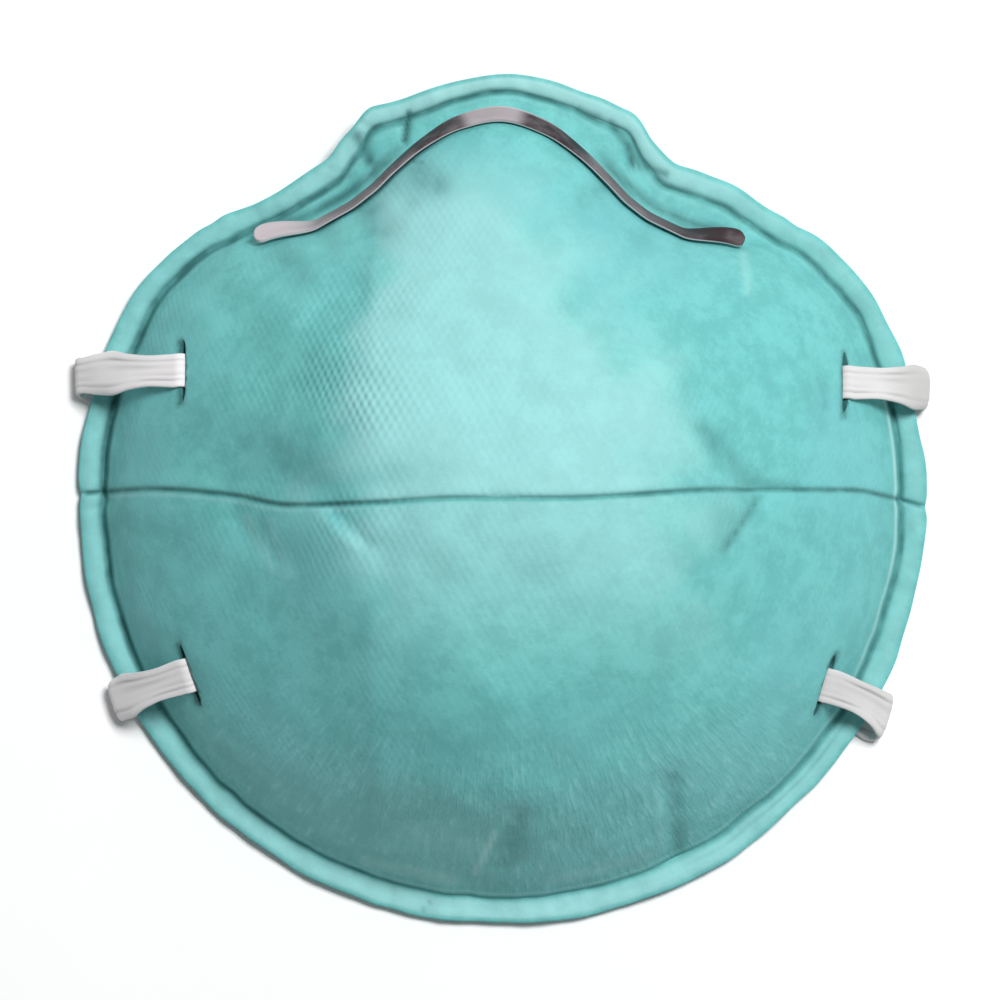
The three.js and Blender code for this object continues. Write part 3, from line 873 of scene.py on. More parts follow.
    def normal(self, x: Array, y: Array, step: float = 0.25) -> Array:
        """Unit normals of the outside, from the height's central differences.

        Args:
            x: plan places to the right.
            y: plan places towards the nose.
            step: how far on either side the height is read; a longer step passes over the fine folds.

        Returns:
            The normals, pointing away from the hollow.
        """
        dx = (self.height(x + step, y) - self.height(x - step, y)) / (2 * step)
        dy = (self.height(x, y + step) - self.height(x, y - step)) / (2 * step)
        return unit(np.stack([-dx, -dy, np.ones_like(dx)], -1))

    def point(self, x: Array, y: Array) -> Array:
        """Points of the outside over plan places."""
        return np.stack([x, y, self.height(x, y)], -1)


@dataclass
class CupMarks:
    """What the cup's cloth shows at places of its outside: painted shade, pale marks that are mostly painted
    highlights, the emboss and the streaks.

    Each mark is a bell curve of the distance from its line over its half width, or a smooth step over an
    edge. Where marks of one kind meet, the strongest shows.
    """

    form: CupForm
    x: Array
    y: Array
    radius: Array
    turn: Array
    part: dict[str, Array]

    def __post_init__(self) -> None:
        """Works out how far each place is outside the groove and above the seam, and where on the cup."""
        self.turn = np.broadcast_to(self.turn, self.radius.shape)
        self.out = self.radius - self.part["groove"]
        self.above = self.y - self.form.seam_line(self.x)
        self.nose = bell((self.turn - 4) / 34)
        self.left = bell((self.turn + 72) / 46)
        self.right = bell((self.turn - 88) / 34)
        self.chin = bell((np.abs(self.turn) - 180) / 42)
        self.flange = ease(self.out / 1.2)
        self.dome = 1 - ease((self.out + 0.6) / 0.8)

    def folds(self, sign: int) -> Array:
        """Painted tone of the strongest fold at each place, among those that paint shade (1) or highlight
        (-1) on the cloth.
        """
        return np.maximum.reduce([sign * fold.tone * fold.share(self.x, self.y)
                                  for fold in FINE_FOLDS + RIM_FOLDS if sign * fold.tone > 0])

    def dark(self) -> Array:
        """How much painted shade the cloth has: in the groove, the seam and the folds, outside the clip
        beside the nose, and on the flange.

        The groove's painted shade is widest and darkest on the left, away from the light, and faint at the
        chin. A second painted shade line follows it at the lower right.

        Returns:
            The share of the painted shade colour at each place.
        """
        deep = 0.84 + 0.06 * self.left - 0.74 * self.chin
        groove = deep * bell((self.out - 0.40) / (0.46 + 0.44 * self.left))
        seam = 0.36 + 0.44 * ease(np.abs(self.x) / 30) - 0.1 * ease((self.x - 10) / 30)
        seam = seam * bell(self.above / 0.46)
        aside = np.abs(self.turn)
        flank = ease((aside - 13) / 6) * ease((43 - aside) / 6)
        # Painted shadow along the outside of the clip on its flanks.
        by_clip = (0.70 + 0.1 * ease(-self.turn)) * flank
        by_clip = by_clip * bell((self.radius - self.part["foot"] - 2.3) / 0.9)
        second = 0.40 * bell((self.turn - 134) / 22) * bell((self.out - 1.7) / 0.32)
        valley = 0.16 * bell((self.out - 0.8) / 1.2)
        # Painted shade: the flange darker at its sides than at the nose and the chin.
        sides = (0.14 - 0.14 * np.maximum(self.nose, self.chin)) * self.flange
        return np.maximum.reduce([groove, seam, by_clip, second, valley, sides, self.folds(1)])

    def pale(self) -> Array:
        """How pale the cloth is: painted highlights on the crown, the lip inside the groove and under the
        seam, and on the flange, whose own paler colour gains painted highlights at the nose and the chin.

        The lip's painted highlight shows most on the right, towards the light. The crown's painted highlight
        wanders with the ripple and stops at the seam, with a fainter one below it, and there is faint painted
        light near the rim towards the chin.

        Returns:
            The share of the pale colour at each place.
        """
        x, y, above = self.x, self.y, self.above
        lip = 0.10 + 0.75 * self.right * ease((self.turn - 68) / 10) + 0.3 * self.chin
        lip = lip * bell((self.out + 0.62) / 0.28)
        under_seam = 0.2 * ease((6 - x) / 20) * bell((above + 0.9) / 0.32)
        drift = x + 18 * self.form.ripple.at(y, x)
        crown = 0.42 * ease((drift + 30.5 - 0.12 * y) / 10) * ease((above + 0.2) / 0.8)
        crown = crown * ease((38 - 22 * ease((y - 14) / 32) - drift) / 23)
        crown = crown * ease((58 - y) / 14)
        lower = ease((drift + 30) / 14) * ease((38 - drift) / 16)
        crown = crown + 0.32 * lower * ease(-above) * ease((y + 34) / 30)
        flange = (0.24 + 0.38 * self.nose + 0.26 * self.chin) * self.flange
        low = (0.03 + 0.04 * bell((self.turn + 152) / 30)) * ease((self.radius - 42) / 9) * (self.out < 0.6)
        low = low * ease((np.abs(self.turn) - 122) / 24)
        return np.maximum.reduce([lip, under_seam, crown * (self.out < -3), flange, low, self.folds(-1)])

    def pressed(self) -> Array:
        """How clear the emboss is: clearest over the left ridge, faint in the trough above the flange.

        Returns:
            The emboss's strength at each place.
        """
        ridge = bell((self.x + 25) / (7 + 6 * ease((self.y - 6) / 18))) * bell((self.y - 14) / 16)
        ridge = ridge + 0.3 * bell((self.x - 30) / 10) * bell((self.y - 22) / 16)
        trough = ease((self.radius - self.part["foot"]) / 1.5)
        return (0.18 + 0.8 * np.minimum(ridge, 1)) * (0.05 + 0.95 * self.dome) * (1 - 0.6 * trough)

    def drawn(self) -> Array:
        """How clear the streaks are: towards the rim, on the half below the seam."""
        return ease((self.radius - 30) / 22) * self.dome * ease((np.abs(self.turn) - 112) / 36)

    def named(self) -> dict[str, Array]:
        """Every mark by the name that the cloth's material reads."""
        return {"painted_shade": self.dark(), "pale": self.pale(), "pressed": self.pressed(), "drawn": self.drawn()}


@dataclass
class Cup:
    """The moulded cup with its welded rim and four strap slits, one closed skin."""

    form: CupForm
    finish: EmbossedCloth = field(default_factory=EmbossedCloth)
    spokes: int = 640
    outer_steps: tuple[int, ...] = (26, 22, 24, 8, 8)
    inner_steps: tuple[int, ...] = (8, 8, 11, 4, 3)
    first_rings: tuple[float, float] = (0.1, 0.45)
    flange_rings: tuple[float, ...] = (0.08, 0.16, 0.24, 0.34, 0.48, 0.62, 0.76, 0.86)
    edge_angles: tuple[float, ...] = (75, 45, 15, -15, -45, -75, -90)
    under_rings: tuple[float, ...] = (1.6, 2.8, 3.9)
    edge_round: float = 0.5
    hollow_step: float = 0.9
    seam_crowd: float = 5.0
    seam_spread: float = 1.3
    nose_crowd: float = 0.6
    nose_spread: float = 50.0

    def turns(self) -> Array:
        """Spoke angles in degrees from the nose, closer together at the seam's ends and at the nose.

        The spacing is one over a density: 1 plus bell curves at both ends of the seam and at the nose.

        Returns:
            The angles, falling, all round.
        """
        fine = np.linspace(-180, 180, 7201)
        by_seam = bell((fine - 90) / self.seam_spread) + bell((fine + 90) / self.seam_spread)
        density = 1 + self.seam_crowd * by_seam + self.nose_crowd * bell(fine / self.nose_spread)
        total = np.concatenate([[0], np.cumsum((density[1:] + density[:-1]) / 2)])
        wanted = np.linspace(0, total[-1], self.spokes + 1)[:-1]
        return np.interp(wanted, total, fine)[::-1]

    def plan(self, radius: Array, turn: Array) -> tuple[Array, Array]:
        """Plan places of grid points: polar, and moved sideways near the seam so that a spoke follows it."""
        x, y = (radius * share for share in heading(turn))
        return x, y + self.form.seam_line(x) * bell(y / 5.0) * ease(radius / 3.0)

    def build(self) -> bpy.types.Object:
        """Makes the skin: outside rows from the top to the rim, round the edge, and inside rows back up.

        Returns:
            The closed cup, without its slits.
        """
        turn = self.turns()
        part = self.form.sections(turn)
        zero = np.zeros_like(turn)
        knots = [zero, zero + self.form.crown, part["flank"], part["brow"], part["foot"], part["groove"]]
        radii = self.outside_radii(knots, part)
        x, y = self.plan(radii, turn)
        edge = self.edge_rows(turn, part)
        inside = self.inside_rows(turn, knots, edge[-1, :, 2] + 0.1)
        skin = np.concatenate([self.form.point(x, y), edge, inside])
        blank = np.zeros((len(edge) + len(inside), len(turn)))
        marks = CupMarks(self.form, x, y, radii, turn, part).named()
        marks = {key: np.vstack([tone, blank]) for key, tone in marks.items()}
        length = self.outward_length(skin)
        uv = np.stack([length * share for share in heading(turn)], -1) / UV_UNIT
        crest = np.array([0, 0, float(self.form.height(np.zeros(1), np.zeros(1))[0]), 0, 0])
        hollow = crest - np.array([0, 0, self.form.wall, 0, 0])
        cup = Surface("cup", skin, uv, crest, hollow, marks).build(self.finish.material())
        LOG.info("cup: %d faces", len(cup.data.polygons))
        return cup

    def outside_radii(self, knots: Sequence[Array], part: dict[str, Array]) -> Array:
        """Radii of the outside's rings: two round the top, even ones between the knots, then the flange's.

        Args:
            knots: radii of the section's knots at each spoke.
            part: the sections at the spokes.

        Returns:
            Array of shape (rings, spokes).
        """
        first = np.array(self.first_rings)[:, None] + np.zeros_like(part["rim"])
        flange = part["rim"] - self.edge_round - part["groove"]
        flange_rings = part["groove"] + flange * np.array(self.flange_rings)[:, None]
        return np.vstack([first, even_steps(knots, self.outer_steps), flange_rings])

    def edge_rows(self, turn: Array, part: dict[str, Array]) -> Array:
        """Rings round the rim's edge and back in along the flange's underside.

        The edge is half an ellipse, edge_round wide and the flange's thickness high. The underside is level
        along each spoke.

        Args:
            turn: the spokes' angles.
            part: the sections at the spokes.

        Returns:
            Points of shape (rings, spokes, 3).
        """
        inset = part["rim"] - self.edge_round
        top = self.form.height(*self.plan(inset, turn))
        half = self.form.flange_thick / 2
        angles = np.radians(self.edge_angles)[:, None]
        edge = inset + self.edge_round * np.cos(angles)
        under_share = np.array(self.under_rings)[:, None] / self.form.flange_width
        under = part["rim"] - under_share * (part["rim"] - part["groove"])
        levels = [top - half + half * np.sin(angles), np.broadcast_to(top - 2 * half, under.shape)]
        return np.stack([*self.plan(np.vstack([edge, under]), turn), np.vstack(levels)], -1)

    def inside_rows(self, turn: Array, knots: Sequence[Array], ceiling: Array) -> Array:
        """Rings of the inside, from the groove up to the top: the outside moved in by the wall.

        Args:
            turn: the spokes' angles.
            knots: radii of the section's knots at each spoke.
            ceiling: the most that the lowest ring's height may be, at each spoke.

        Returns:
            Points of shape (rings, spokes, 3).
        """
        x, y = self.plan(even_steps(knots, self.inner_steps)[::-1], turn)
        inside = self.form.point(x, y) - self.form.wall * self.form.normal(x, y, self.hollow_step)
        inside[0, :, 2] = np.minimum(inside[0, :, 2], ceiling)
        return inside

    @staticmethod
    def outward_length(skin: Array) -> Array:
        """Length along each spoke from the top, which unrolls the skin as cloth; it shrinks again inside.

        Args:
            skin: the skin's points, ring by ring.

        Returns:
            The length at each point.
        """
        steps = np.linalg.norm(np.diff(skin, axis=0), axis=-1)
        start = np.hypot(skin[0, :, 0], skin[0, :, 1])
        run = np.concatenate([start[None], start + np.cumsum(steps, axis=0)])
        turned = run.max(axis=0) / 2
        return np.where(run > turned * 1.08, 2.16 * turned - run, run)


# ---- straps


class Side(Enum):
    """Which side of the cup a strap end is on."""

    LEFT = -1
    RIGHT = 1


@dataclass(frozen=True)
class StrapEnd:
    """Where a strap comes out of the cup: the slit's lower lip in plan, the tab's slope towards the chin,
    how far out its loop round the rim reaches, how far the loop slips sideways as it turns under, and how far
    the tab curls sideways towards the chin before it."""

    side: Side
    x: float
    y: float
    slope: float
    reach: float
    slip: float
    curl: float = 0.0


@dataclass
class StrapPath:
    """A strap's middle line and cross direction, stop by stop."""

    middle: Array
    across: Array

    @staticmethod
    def joined(*paths: "StrapPath") -> "StrapPath":
        """Paths one after the other."""
        return StrapPath(np.vstack([p.middle for p in paths]), np.vstack([p.across for p in paths]))

    def resampled(self, spacing: float) -> "StrapPath":
        """The same path with even stops, read off straight lines between the old ones.

        Args:
            spacing: about how far apart the new stops are.

        Returns:
            The new path.
        """
        run = run_along(self.middle)
        even = np.linspace(0, run[-1], int(run[-1] / spacing) + 1)
        middle, across = (np.stack([np.interp(even, run, column) for column in line.T], -1)
                          for line in (self.middle, self.across))
        return StrapPath(middle, unit(across))


@dataclass
class Strap:
    """One braided elastic strap from its slit on the left to its slit on the right, slack folded flat."""

    name: str
    node: str
    left: StrapEnd
    right: StrapEnd
    form: CupForm
    finish: BraidedElastic = field(default_factory=BraidedElastic)
    wander: Ripple = field(default_factory=lambda: Ripple(5, 0.5, 6.0, 18.0))
    width: float = 6.35
    thick: float = 0.9
    gap: float = 0.12
    rim_turn: float = 1.95
    tail: float = 3.2
    fold_gap: float = 0.35
    fold_half: float = 17.0
    fall_run: float = 16.0
    flat_reach: float = 54.0
    ribs: int = 5
    rib_deep: float = 0.16
    cupped: float = 0.22
    bow: float = 0.7
    corner: float = 0.8
    corner_run: float = 22.5
    slit_half_high: float = 0.80
    slit_half_long: float = 5.2
    cut_half_deep: float = 3.2
    spacing: float = 0.4
    normal_step: float = 1.5

    @property
    def slit_turn(self) -> float:
        """Radius of the middle line where the strap turns round a slit's lip."""
        return (self.form.wall + self.thick) / 2 + self.gap

    def lip(self, end: StrapEnd) -> tuple[Array, Array, Array, Array]:
        """Where a slit's lower lip is and how it faces.

        Args:
            end: the strap end that comes out there.

        Returns:
            The lip in the middle of the wall, the strap's level way outwards, the way off the wall and the
            way down it.
        """
        lean = math.radians(end.slope)
        outwards = np.array([end.side.value * math.cos(lean), -math.sin(lean), 0.0])
        x, y = np.array([end.side.value * end.x]), np.array([end.y])
        normal = self.form.normal(x, y, self.normal_step)[0]
        lip = self.form.point(x, y)[0] - normal * self.form.wall / 2
        return lip, outwards, normal, unit(outwards - normal * outwards.dot(normal))

    def end_path(self, end: StrapEnd) -> StrapPath:
        """Stops of one end: the tail inside the wall, the turn through the slit, the straight tab and the
        loose loop round the rim down to the surface.

        The turn is an arc round the slit's lower lip in the plane of the wall's normal and the way down the
        wall. The loop is an upright arc. The tab is the straight line that touches both, slightly bowed.

        Args:
            end: the strap end.

        Returns:
            The end's path, from the tail's tip to the underside of the loop.
        """
        lip, outwards, normal, down = self.lip(end)
        upright = np.array([0.0, 0.0, 1.0])
        radius = self.slit_turn
        run = (end.reach - self.thick / 2 - self.rim_turn - end.x) / abs(outwards[0])
        loop = np.array([end.side.value * end.x, end.y, 0.0]) + outwards * run
        loop[2] = self.thick / 2 + self.rim_turn

        start = lip
        for _ in range(3):
            loop_angle = self.touch(loop, self.rim_turn, outwards, upright, start, -1)
            far = self.on_arc(loop, self.rim_turn, outwards, upright, np.array([loop_angle]))[0]
            leave = self.touch(lip, radius, down, normal, far, 1)
            start = self.on_arc(lip, radius, down, normal, np.array([leave]))[0]

        wall_across = self.crossing(normal, outwards)
        level = self.crossing(upright, outwards)
        tail_plan = lip + down * np.linspace(self.tail, self.tail / 6, 6)[:, None]
        tx, ty = tail_plan[:, 0], tail_plan[:, 1]
        tail_normals = self.form.normal(tx, ty, self.normal_step)
        tail = self.form.point(tx, ty) - tail_normals * (self.form.wall / 2 + radius)
        turn = self.on_arc(lip, radius, down, normal, np.linspace(-math.pi / 2, leave - 2 * math.pi, 24))
        share = np.linspace(0, 1, 26)[1:-1, None]
        bow = np.sin(math.pi * share) * self.bow
        tab = start + (far - start) * share + normal * bow - level * end.curl * share**2
        loop_angles = np.linspace(loop_angle, -math.pi / 2, 30)
        slip = -end.curl + end.slip * ease((loop_angle - loop_angles) / (loop_angle + math.pi / 2))
        loops = self.on_arc(loop, self.rim_turn, outwards, upright, loop_angles) + level * slip[:, None]
        tail_across = np.stack([self.crossing(n, outwards) for n in tail_normals])
        turn_across = np.broadcast_to(wall_across, turn.shape)
        tab_across = unit(wall_across + (level - wall_across) * ease(share))
        loop_across = np.broadcast_to(level, loops.shape)
        return StrapPath(np.vstack([tail, turn, tab, loops]),
                         np.vstack([tail_across, turn_across, tab_across, loop_across]))

    @staticmethod
    def crossing(normal: Array, outwards: Array) -> Array:
        """Unit vector across a strap that runs along outwards against a normal, towards the nose end."""
        across = unit(np.cross(normal, outwards))
        return across if across[1] > 0 else -across

    @staticmethod
    def touch(centre: Array, radius: float, u: Array, v: Array, far: Array, turn: int) -> float:
        """Angle in the plane of u and v at which a line from a far point touches a circle.

        Args:
            centre: the circle's centre.
            radius: its radius.
            u: unit vector towards angle 0.
            v: unit vector towards a quarter turn.
            far: the point that the line starts from.
            turn: 1 or -1, for which of the two touching lines is meant.

        Returns:
            The angle, in radians.
        """
        reach = far - centre
        along, up = reach.dot(u), reach.dot(v)
        return math.atan2(up, along) + turn * math.acos(radius / math.hypot(along, up))

    @staticmethod
    def on_arc(centre: Array, radius: float, u: Array, v: Array, angles: Array) -> Array:
        """Points of a circle: the centre plus radius times the cosine along u and the sine along v."""
        return centre + radius * (np.cos(angles)[:, None] * u + np.sin(angles)[:, None] * v)

    def plan_line(self, x: Array) -> Array:
        """The strap's y over x: straight outside the slits, one cubic curve between them.

        Args:
            x: places to the right.

        Returns:
            The strap's y at each of them.
        """
        rise_left = math.tan(math.radians(self.left.slope))
        rise_right = -math.tan(math.radians(self.right.slope))
        span = self.left.x + self.right.x
        t = np.clip((x + self.left.x) / span, 0, 1)
        ends = t * (1 - t) ** 2 * span * rise_left - t * t * (1 - t) * span * rise_right
        inside = self.left.y + (3 - 2 * t) * t * t * (self.right.y - self.left.y) + ends
        beyond_left = np.minimum(x + self.left.x, 0) * rise_left
        beyond_right = np.maximum(x - self.right.x, 0) * rise_right
        return inside + beyond_left + beyond_right

    def slack(self) -> StrapPath:
        """The flat run across the hollow: out, back and out again in three layers, then down.

        The hairpins are half circles one layer high, and the way down is a smooth step.

        Returns:
            The run's path, from the left flange to the right one.
        """
        pitch = self.thick + self.fold_gap
        low = self.thick / 2
        bend = np.linspace(-math.pi / 2, math.pi / 2, 16)
        fall = np.linspace(0, 1, 24)

        def hairpin(x: float, z: float, sign: int) -> Array:
            """Half circle that lifts the strap one layer and turns it round."""
            return np.stack([x + sign * np.cos(bend) * pitch / 2, z + (1 + np.sin(bend)) * pitch / 2], -1)

        def level(start: float, stop: float, z: float) -> Array:
            """Straight run at one height."""
            xs = np.linspace(start, stop, 40)[1:-1]
            return np.stack([xs, np.full_like(xs, z)], -1)

        half, drop = self.fold_half, self.fold_half + 2
        fall_x = drop + self.fall_run * fall
        route = np.vstack([
            level(-self.flat_reach, half, low),
            hairpin(half, low, 1),
            level(half, -half, low + pitch),
            hairpin(-half, low + pitch, -1),
            level(-half, drop, low + 2 * pitch),
            np.stack([fall_x, low + 2 * pitch * (1 - ease(fall))], -1),
            level(drop + self.fall_run, self.flat_reach, low),
        ])
        x = route[:, 0]
        fades = [(end.slip - end.curl) * ease((end.side.value * x - 20) / (self.flat_reach - 20)) ** 2
                 for end in (self.left, self.right)]
        rise = (self.plan_line(x + 0.1) - self.plan_line(x - 0.1)) / 0.2
        across = unit(np.stack([-rise, np.ones_like(x), np.zeros_like(x)], -1))
        middle = np.stack([x, self.plan_line(x), route[:, 1]], -1) + across * sum(fades)[:, None]
        return StrapPath(middle, across)

    def path(self) -> StrapPath:
        """The whole strap from the end of its left tail to the end of its right one."""
        left, slack, right = self.end_path(self.left), self.slack(), self.end_path(self.right)
        return StrapPath.joined(left, slack, StrapPath(right.middle[::-1], right.across[::-1]))

    def section(self) -> tuple[Array, Array, Array]:
        """Ring of the band's cross section.

        The outline is a flattened oval; on its faces each rib is one arch of a sine.

        Returns:
            Each point's place across and its lift, from -1 to 1, and how deep it is between two ribs.
        """
        across, lift = squared_oval(72, 0.55, 0.42)
        between = (1 - np.abs(np.sin((across + 1) * self.ribs * math.pi / 2))) ** 2 * np.abs(lift)
        return across, lift, between

    def half_widths(self, from_end: Array) -> Array:
        """Half width along the strap: drawn in at the slit, waisted on the tab, splayed over the rim loop.

        Args:
            from_end: length from the nearer end.

        Returns:
            Half the width at each of them, by a smooth curve through shares of the full width.
        """
        knots = np.array([0, 7, 12, 16, 20.5, 24, 27, 33, 500.0])
        shares = np.array([0.86, 0.90, 0.83, 0.92, 1.13, 1.04, 0.90, 1.0, 1.0])
        return self.width / 2 * knot_curve(knots, shares, from_end)

    def build(self) -> bpy.types.Object:
        """Carries the ribbed section along the path and closes both ends.

        The rise off the face is the lift times half the thickness, less in the hollows between the ribs. On
        the tabs the two edges are cupped: lifted off the cup with the square of the across share. At the
        loops' outer corners they are held in with its fourth power.

        Returns:
            The strap.
        """
        path = self.path().resampled(self.spacing)
        travel = unit(np.gradient(path.middle, axis=0))
        normal = unit(np.cross(travel, path.across))
        across, lift, between = self.section()
        run = run_along(path.middle)
        from_end = np.minimum(run, run[-1] - run)
        waver = self.wander.at(run[:, None], 8 * across[None])
        thick = lift[None] * (1 - self.rib_deep / (self.thick / 2) * between[None] * (0.75 + waver))
        cup = self.cupped * bell((from_end - 14) / 7)[:, None] * (across[None] ** 2 - 0.3)
        rise = thick * self.thick / 2 - cup
        band = Band(self.name, path.middle, path.across, normal, run, self.width)
        rows = band.rows(across, self.half_widths(from_end), rise)
        rows[..., 2] = np.maximum(rows[..., 2], 0.0)
        held = self.corner * bell((from_end - self.corner_run) / 3)[:, None] * across[None] ** 4
        rows[..., 0] -= np.sign(path.middle[:, :1]) * held
        # Painted shade in the hollows between the ribs, uneven along the strap.
        dark = np.clip(between * (0.55 + 1.1 * waver), 0, 1)
        return band.build(rows, across, {"between": dark}, self.finish.material())

    def slit_cutters(self) -> list[bpy.types.Object]:
        """Lens-shaped blocks that open the two slits, each across the strap where it passes the wall.

        The lens is half the slit's height times the square root of one minus the squared share of the way to
        its tips.

        Returns:
            The two blocks, for the cup to be cut with.
        """
        cutters = []
        share = np.linspace(-1, 1, 15)
        height = self.slit_half_high * np.sqrt(np.maximum(1 - share**2, 0.015))
        outline = np.concatenate([np.stack([share, height], -1), np.stack([share, -height], -1)[::-1]])
        for end in (self.left, self.right):
            lip, outwards, normal, down = self.lip(end)
            across = self.crossing(normal, outwards)
            centre = lip - down * self.slit_turn
            flat = centre + outline[:, :1] * self.slit_half_long * across + outline[:, 1:] * down
            count = len(flat)
            points = np.concatenate([flat - self.cut_half_deep * normal, flat + self.cut_half_deep * normal])
            faces = [tuple(range(count - 1, -1, -1)), tuple(range(count, 2 * count))]
            faces += [(k, (k + 1) % count, count + (k + 1) % count, count + k) for k in range(count)]
            mesh = bpy.data.meshes.new("slit_cutter")
            mesh.from_pydata((points * MM).tolist(), [], faces)
            made = bmesh.new()
            made.from_mesh(mesh)
            bmesh.ops.recalc_face_normals(made, faces=made.faces)
            made.to_mesh(mesh)
            made.free()
            mesh.polygons.foreach_set("material_index", [CUT_MARK] * len(mesh.polygons))
            cutters.append(bpy.data.objects.new("slit_cutter", mesh))
            bpy.context.scene.collection.objects.link(cutters[-1])
        return cutters


# ---- nose clip


# How strong the clip's painted dark reflection is along the turn; weakest at the left end and at the middle,
# which show pale.
CLIP_REFLECTION_TONES = (
    (-44, 0.10), (-37, 0.20), (-32, 0.62), (-24, 0.78), (-15, 0.92), (-11, 1), (-6.5, 0.95), (-4.5, 0.4),
    (1.5, 0.4), (4, 1), (11, 1), (16, 0.82), (30, 0.88), (38, 1), (44, 1),
)


@dataclass
class NoseClip:
    """Soft metal strip bent over the nose, seated on the steep band above the flange."""

    form: CupForm
    finish: RolledStrip = field(default_factory=RolledStrip)
    width: float = 5.0
    thick: float = 0.8
    stand_off: float = 0.47
    twist: float = 0.34
    turn_left: float = -43.5
    turn_right: float = 43.2
    stops: int = 260

    def seats(self) -> tuple[Array, Array]:
        """Where the clip sits: halfway up the steep band from the foot to the brow.

        Returns:
            The middle of the seat and the way up the wall at each stop.
        """
        turn = np.linspace(self.turn_left, self.turn_right, self.stops)
        part = self.form.sections(turn)
        x, y = heading(turn)
        foot, brow = (np.stack([part[key] * x, part[key] * y,
                                knot_curve(part["radii"], part["levels"], part[key], 0.0)], -1)
                      for key in ("foot", "brow"))
        return (foot + brow) / 2, unit(brow - foot)

    def build(self) -> bpy.types.Object:
        """Carries the strip's section along the seats.

        The section is a flat bar with two rolled beads; the half width rounds each end off as the square
        root of one minus a fourth power.

        Returns:
            The clip.
        """
        middle, slope = self.seats()
        along = unit(np.gradient(middle, axis=0))
        slope = unit(slope - along * (slope * along).sum(-1, keepdims=True))
        turn = np.linspace(self.turn_left, self.turn_right, self.stops)
        inward = -middle * (1, 1, 0) / np.linalg.norm(middle[:, :2], axis=1, keepdims=True)
        twisted = unit(slope + inward * (self.twist * ease((np.abs(turn) - 33) / 9))[:, None])
        middle = middle + (slope - twisted) * self.width / 2
        slope = unit(twisted - along * (twisted * along).sum(-1, keepdims=True))
        normal = unit(np.cross(slope, along))
        run = run_along(middle)
        middle = middle + normal * (self.stand_off + self.thick / 2)
        short = np.clip(1 - np.minimum(run, run[-1] - run) / (self.width / 2), 0, 1)
        half = self.width / 2 * np.sqrt(np.maximum(1 - short**4, 0.02))
        across, lift = squared_oval(48, 0.6, 0.3)
        channel = 1 - 0.30 * bell(across / 0.55) * (lift > 0)
        band = Band("clip", middle, slope, normal, run, self.width)
        rows = band.rows(across, half, (lift * channel * self.thick / 2)[None])
        # Painted dark reflection on the upper face, with a painted highlight on the upper bead at the middle.
        tone = knot_curve(*np.array(CLIP_REFLECTION_TONES, dtype=float).T, turn)
        bead_highlight = bell((turn - 1) / 6)[:, None] * (1 - ease((across + 0.9) / 0.3))
        face = tone[:, None] * ease((lift + 0.4) / 0.4) * (1 - bead_highlight)
        return band.build(rows, across, {"face": face}, self.finish.material())


# ---- studio


@dataclass
class Studio:
    """Pale floor, a soft light and the camera straight above the cup. Places and sizes are in metres."""

    lens: float = 300.0
    sensor: float = 36.0
    view_width: float = 0.160
    focus_height: float = 0.002
    aside: float = -0.0004
    floor_half: float = 3.0
    floor_gap: float = 0.0002
    surroundings: float = 0.18
    key_place: tuple[float, float, float] = (0.72, 0.92, 2.30)
    key_size: float = 0.75
    key_power: float = 66.0

    def floor(self) -> None:
        """Lays a wide pale sheet a hair under the part."""
        mesh = bpy.data.meshes.new("floor")
        half = self.floor_half
        corners = [(x * half, y * half, 0) for x, y in ((-1, -1), (1, -1), (1, 1), (-1, 1))]
        mesh.from_pydata(corners, [], [range(4)])
        sheet = bpy.data.objects.new("floor", mesh)
        sheet.location.z = -self.floor_gap
        bpy.context.scene.collection.objects.link(sheet)
        s = Sketch("pale_floor")
        colour = s.mix(s.noise(s.place(), 40.0), (0.97, 0.97, 0.97), (0.99, 0.99, 0.99))
        mesh.materials.append(s.dress(Base_Color=colour, Roughness=0.9))

    def light(self) -> None:
        """Adds the square area light, aimed at the middle of the part."""
        lamp = bpy.data.lights.new("key", "AREA")
        lamp.size, lamp.energy = self.key_size, self.key_power
        key = bpy.data.objects.new("key", lamp)
        key.location = self.key_place
        aim = Vector((0, 0, 0.02)) - Vector(self.key_place)
        key.rotation_euler = aim.to_track_quat("-Z", "Y").to_euler()
        bpy.context.scene.collection.objects.link(key)

    def world(self) -> None:
        """Even pale surroundings."""
        world = bpy.data.worlds.new("surroundings")
        world.use_nodes = True
        ground = world.node_tree.nodes["Background"]
        ground.inputs["Color"].default_value = (0.96, 0.98, 1.0, 1.0)
        ground.inputs["Strength"].default_value = self.surroundings
        bpy.context.scene.world = world

    def camera(self) -> None:
        """Sets the camera above the part, looking down, with the nose end at the top of the picture."""
        lens = bpy.data.cameras.new("camera")
        lens.lens, lens.sensor_width = self.lens, self.sensor
        away = self.view_width * self.lens / self.sensor
        camera = bpy.data.objects.new("camera", lens)
        camera.location = (self.aside, 0.0, away + self.focus_height)
        lens.clip_start, lens.clip_end = 0.01, 20.0
        bpy.context.scene.collection.objects.link(camera)
        bpy.context.scene.camera = camera

    def build(self) -> None:
        """Sets up everything round the part."""
        self.camera()
        self.floor()
        self.world()
        self.light()
        bpy.context.scene.view_settings.view_transform = "Standard"


# ---- assembly


def read_all(elements: bpy.types.bpy_prop_collection, key: str, kind: type) -> Array:
    """One number of each element of a mesh, such as every face's material.

    Args:
        elements: the mesh's faces, corners or points, or the values of an attribute.
        key: the number's name.
        kind: its numpy type.

    Returns:
        The numbers in the elements' order.
    """
    values = np.zeros(len(elements), kind)
    elements.foreach_get(key, values)
    return values


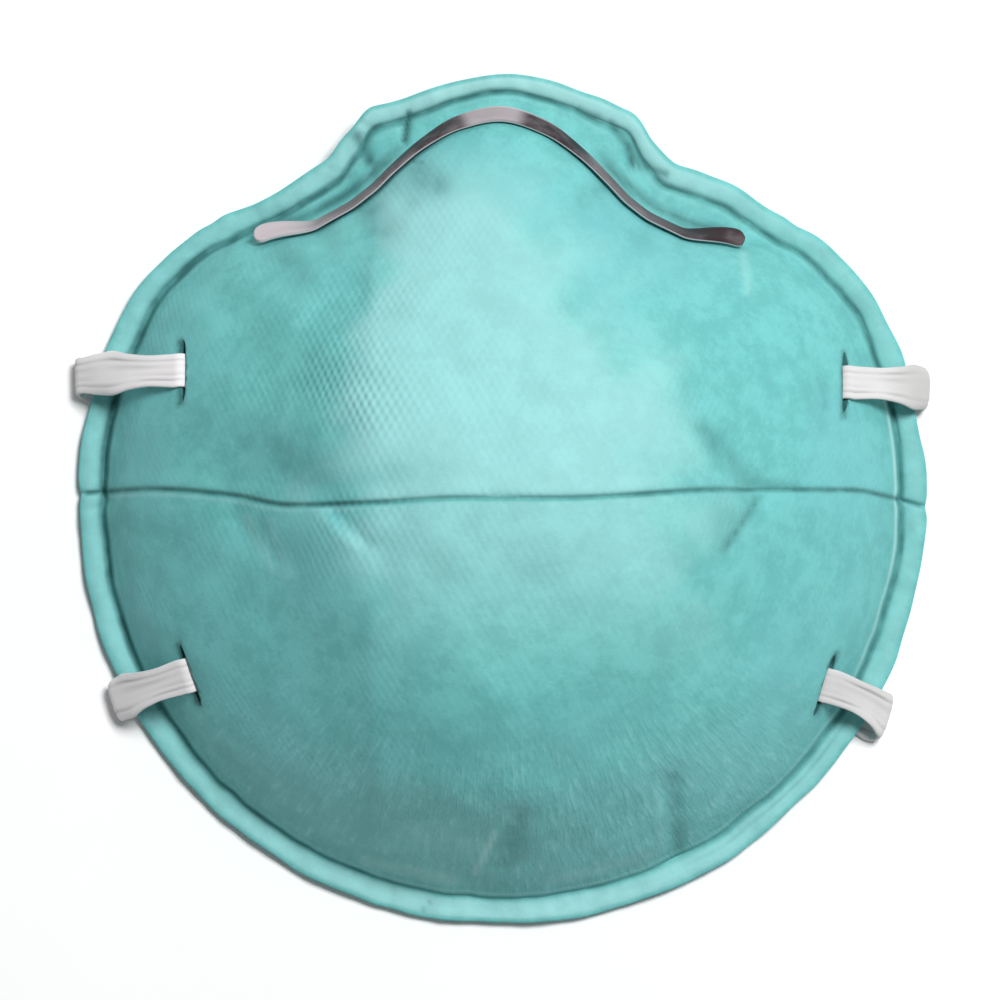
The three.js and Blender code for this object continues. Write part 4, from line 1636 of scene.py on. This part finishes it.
def cut_slits(cup: bpy.types.Object, cutters: Sequence[bpy.types.Object]) -> None:
    """Opens the slits in the cup's wall, paints shade on the cut edges and removes the cutters.

    The cutters' faces carry a material number of their own, which tells the cut edges from the skin.

    Args:
        cup: the closed cup, whose mesh is replaced.
        cutters: the blocks to take away.
    """
    for cutter in cutters:
        opening = cup.modifiers.new("slit", "BOOLEAN")
        opening.operation, opening.object, opening.solver = "DIFFERENCE", cutter, "EXACT"
    graph = bpy.context.evaluated_depsgraph_get()
    opened = bpy.data.meshes.new_from_object(cup.evaluated_get(graph), depsgraph=graph)
    cup.modifiers.clear()
    marks = read_all(opened.polygons, "material_index", np.int32)
    corners = read_all(opened.polygons, "loop_total", np.int32)
    cut = np.unique(read_all(opened.loops, "vertex_index", np.int32)[np.repeat(marks, corners) == CUT_MARK])
    tones = opened.attributes["painted_shade"].data
    painted_shade = read_all(tones, "value", np.float32)
    # Painted shade on the slits' cut edges, where the opening lies in shadow.
    painted_shade[cut] = 1.0
    tones.foreach_set("value", painted_shade)
    opened.polygons.foreach_set("material_index", np.zeros_like(marks))
    LOG.info("slits: %d points on the cut edges", len(cut))
    old = cup.data
    cup.data = opened
    bpy.data.meshes.remove(old)
    for cutter in cutters:
        bpy.data.objects.remove(cutter)


def settle(piece: bpy.types.Object, node: str) -> None:
    """Puts a finished piece in place of its plain solid, on the part's one body.

    Args:
        piece: the finished piece.
        node: the plain solid that it stands for.
    """
    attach(piece, BODY)
    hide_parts(node)
    LOG.info("%s stands for %s", piece.name, node)


def main() -> None:
    """Builds the studio and the pieces in order."""
    logging.basicConfig(level=logging.INFO, format="%(name)s: %(message)s")
    Studio().build()
    form = CupForm(depth=50.0)
    straps = [
        Strap("elastic_upper", "strap_upper",
              StrapEnd(Side.LEFT, 51.7, 20.2, 1.2, 68.4, -0.7),
              StrapEnd(Side.RIGHT, 55.5, 18.3, 2.0, 68.4, -0.7), form),
        Strap("elastic_lower", "strap_lower",
              StrapEnd(Side.LEFT, 50.6, -27.8, 17.0, 62.9, -1.0, 0.5),
              StrapEnd(Side.RIGHT, 52.2, -29.4, 17.0, 62.7, -1.4, 2.0), form),
    ]
    cup = Cup(form)
    shell = cup.build()
    cut_slits(shell, [cutter for strap in straps for cutter in strap.slit_cutters()])
    shell.data.set_sharp_from_angle(angle=math.radians(50))
    settle(shell, "shell")
    clip = NoseClip(form)
    settle(clip.build(), "nose_clip")
    for strap in straps:
        settle(strap.build(), strap.node)


if __name__ == "__main__":
    main()
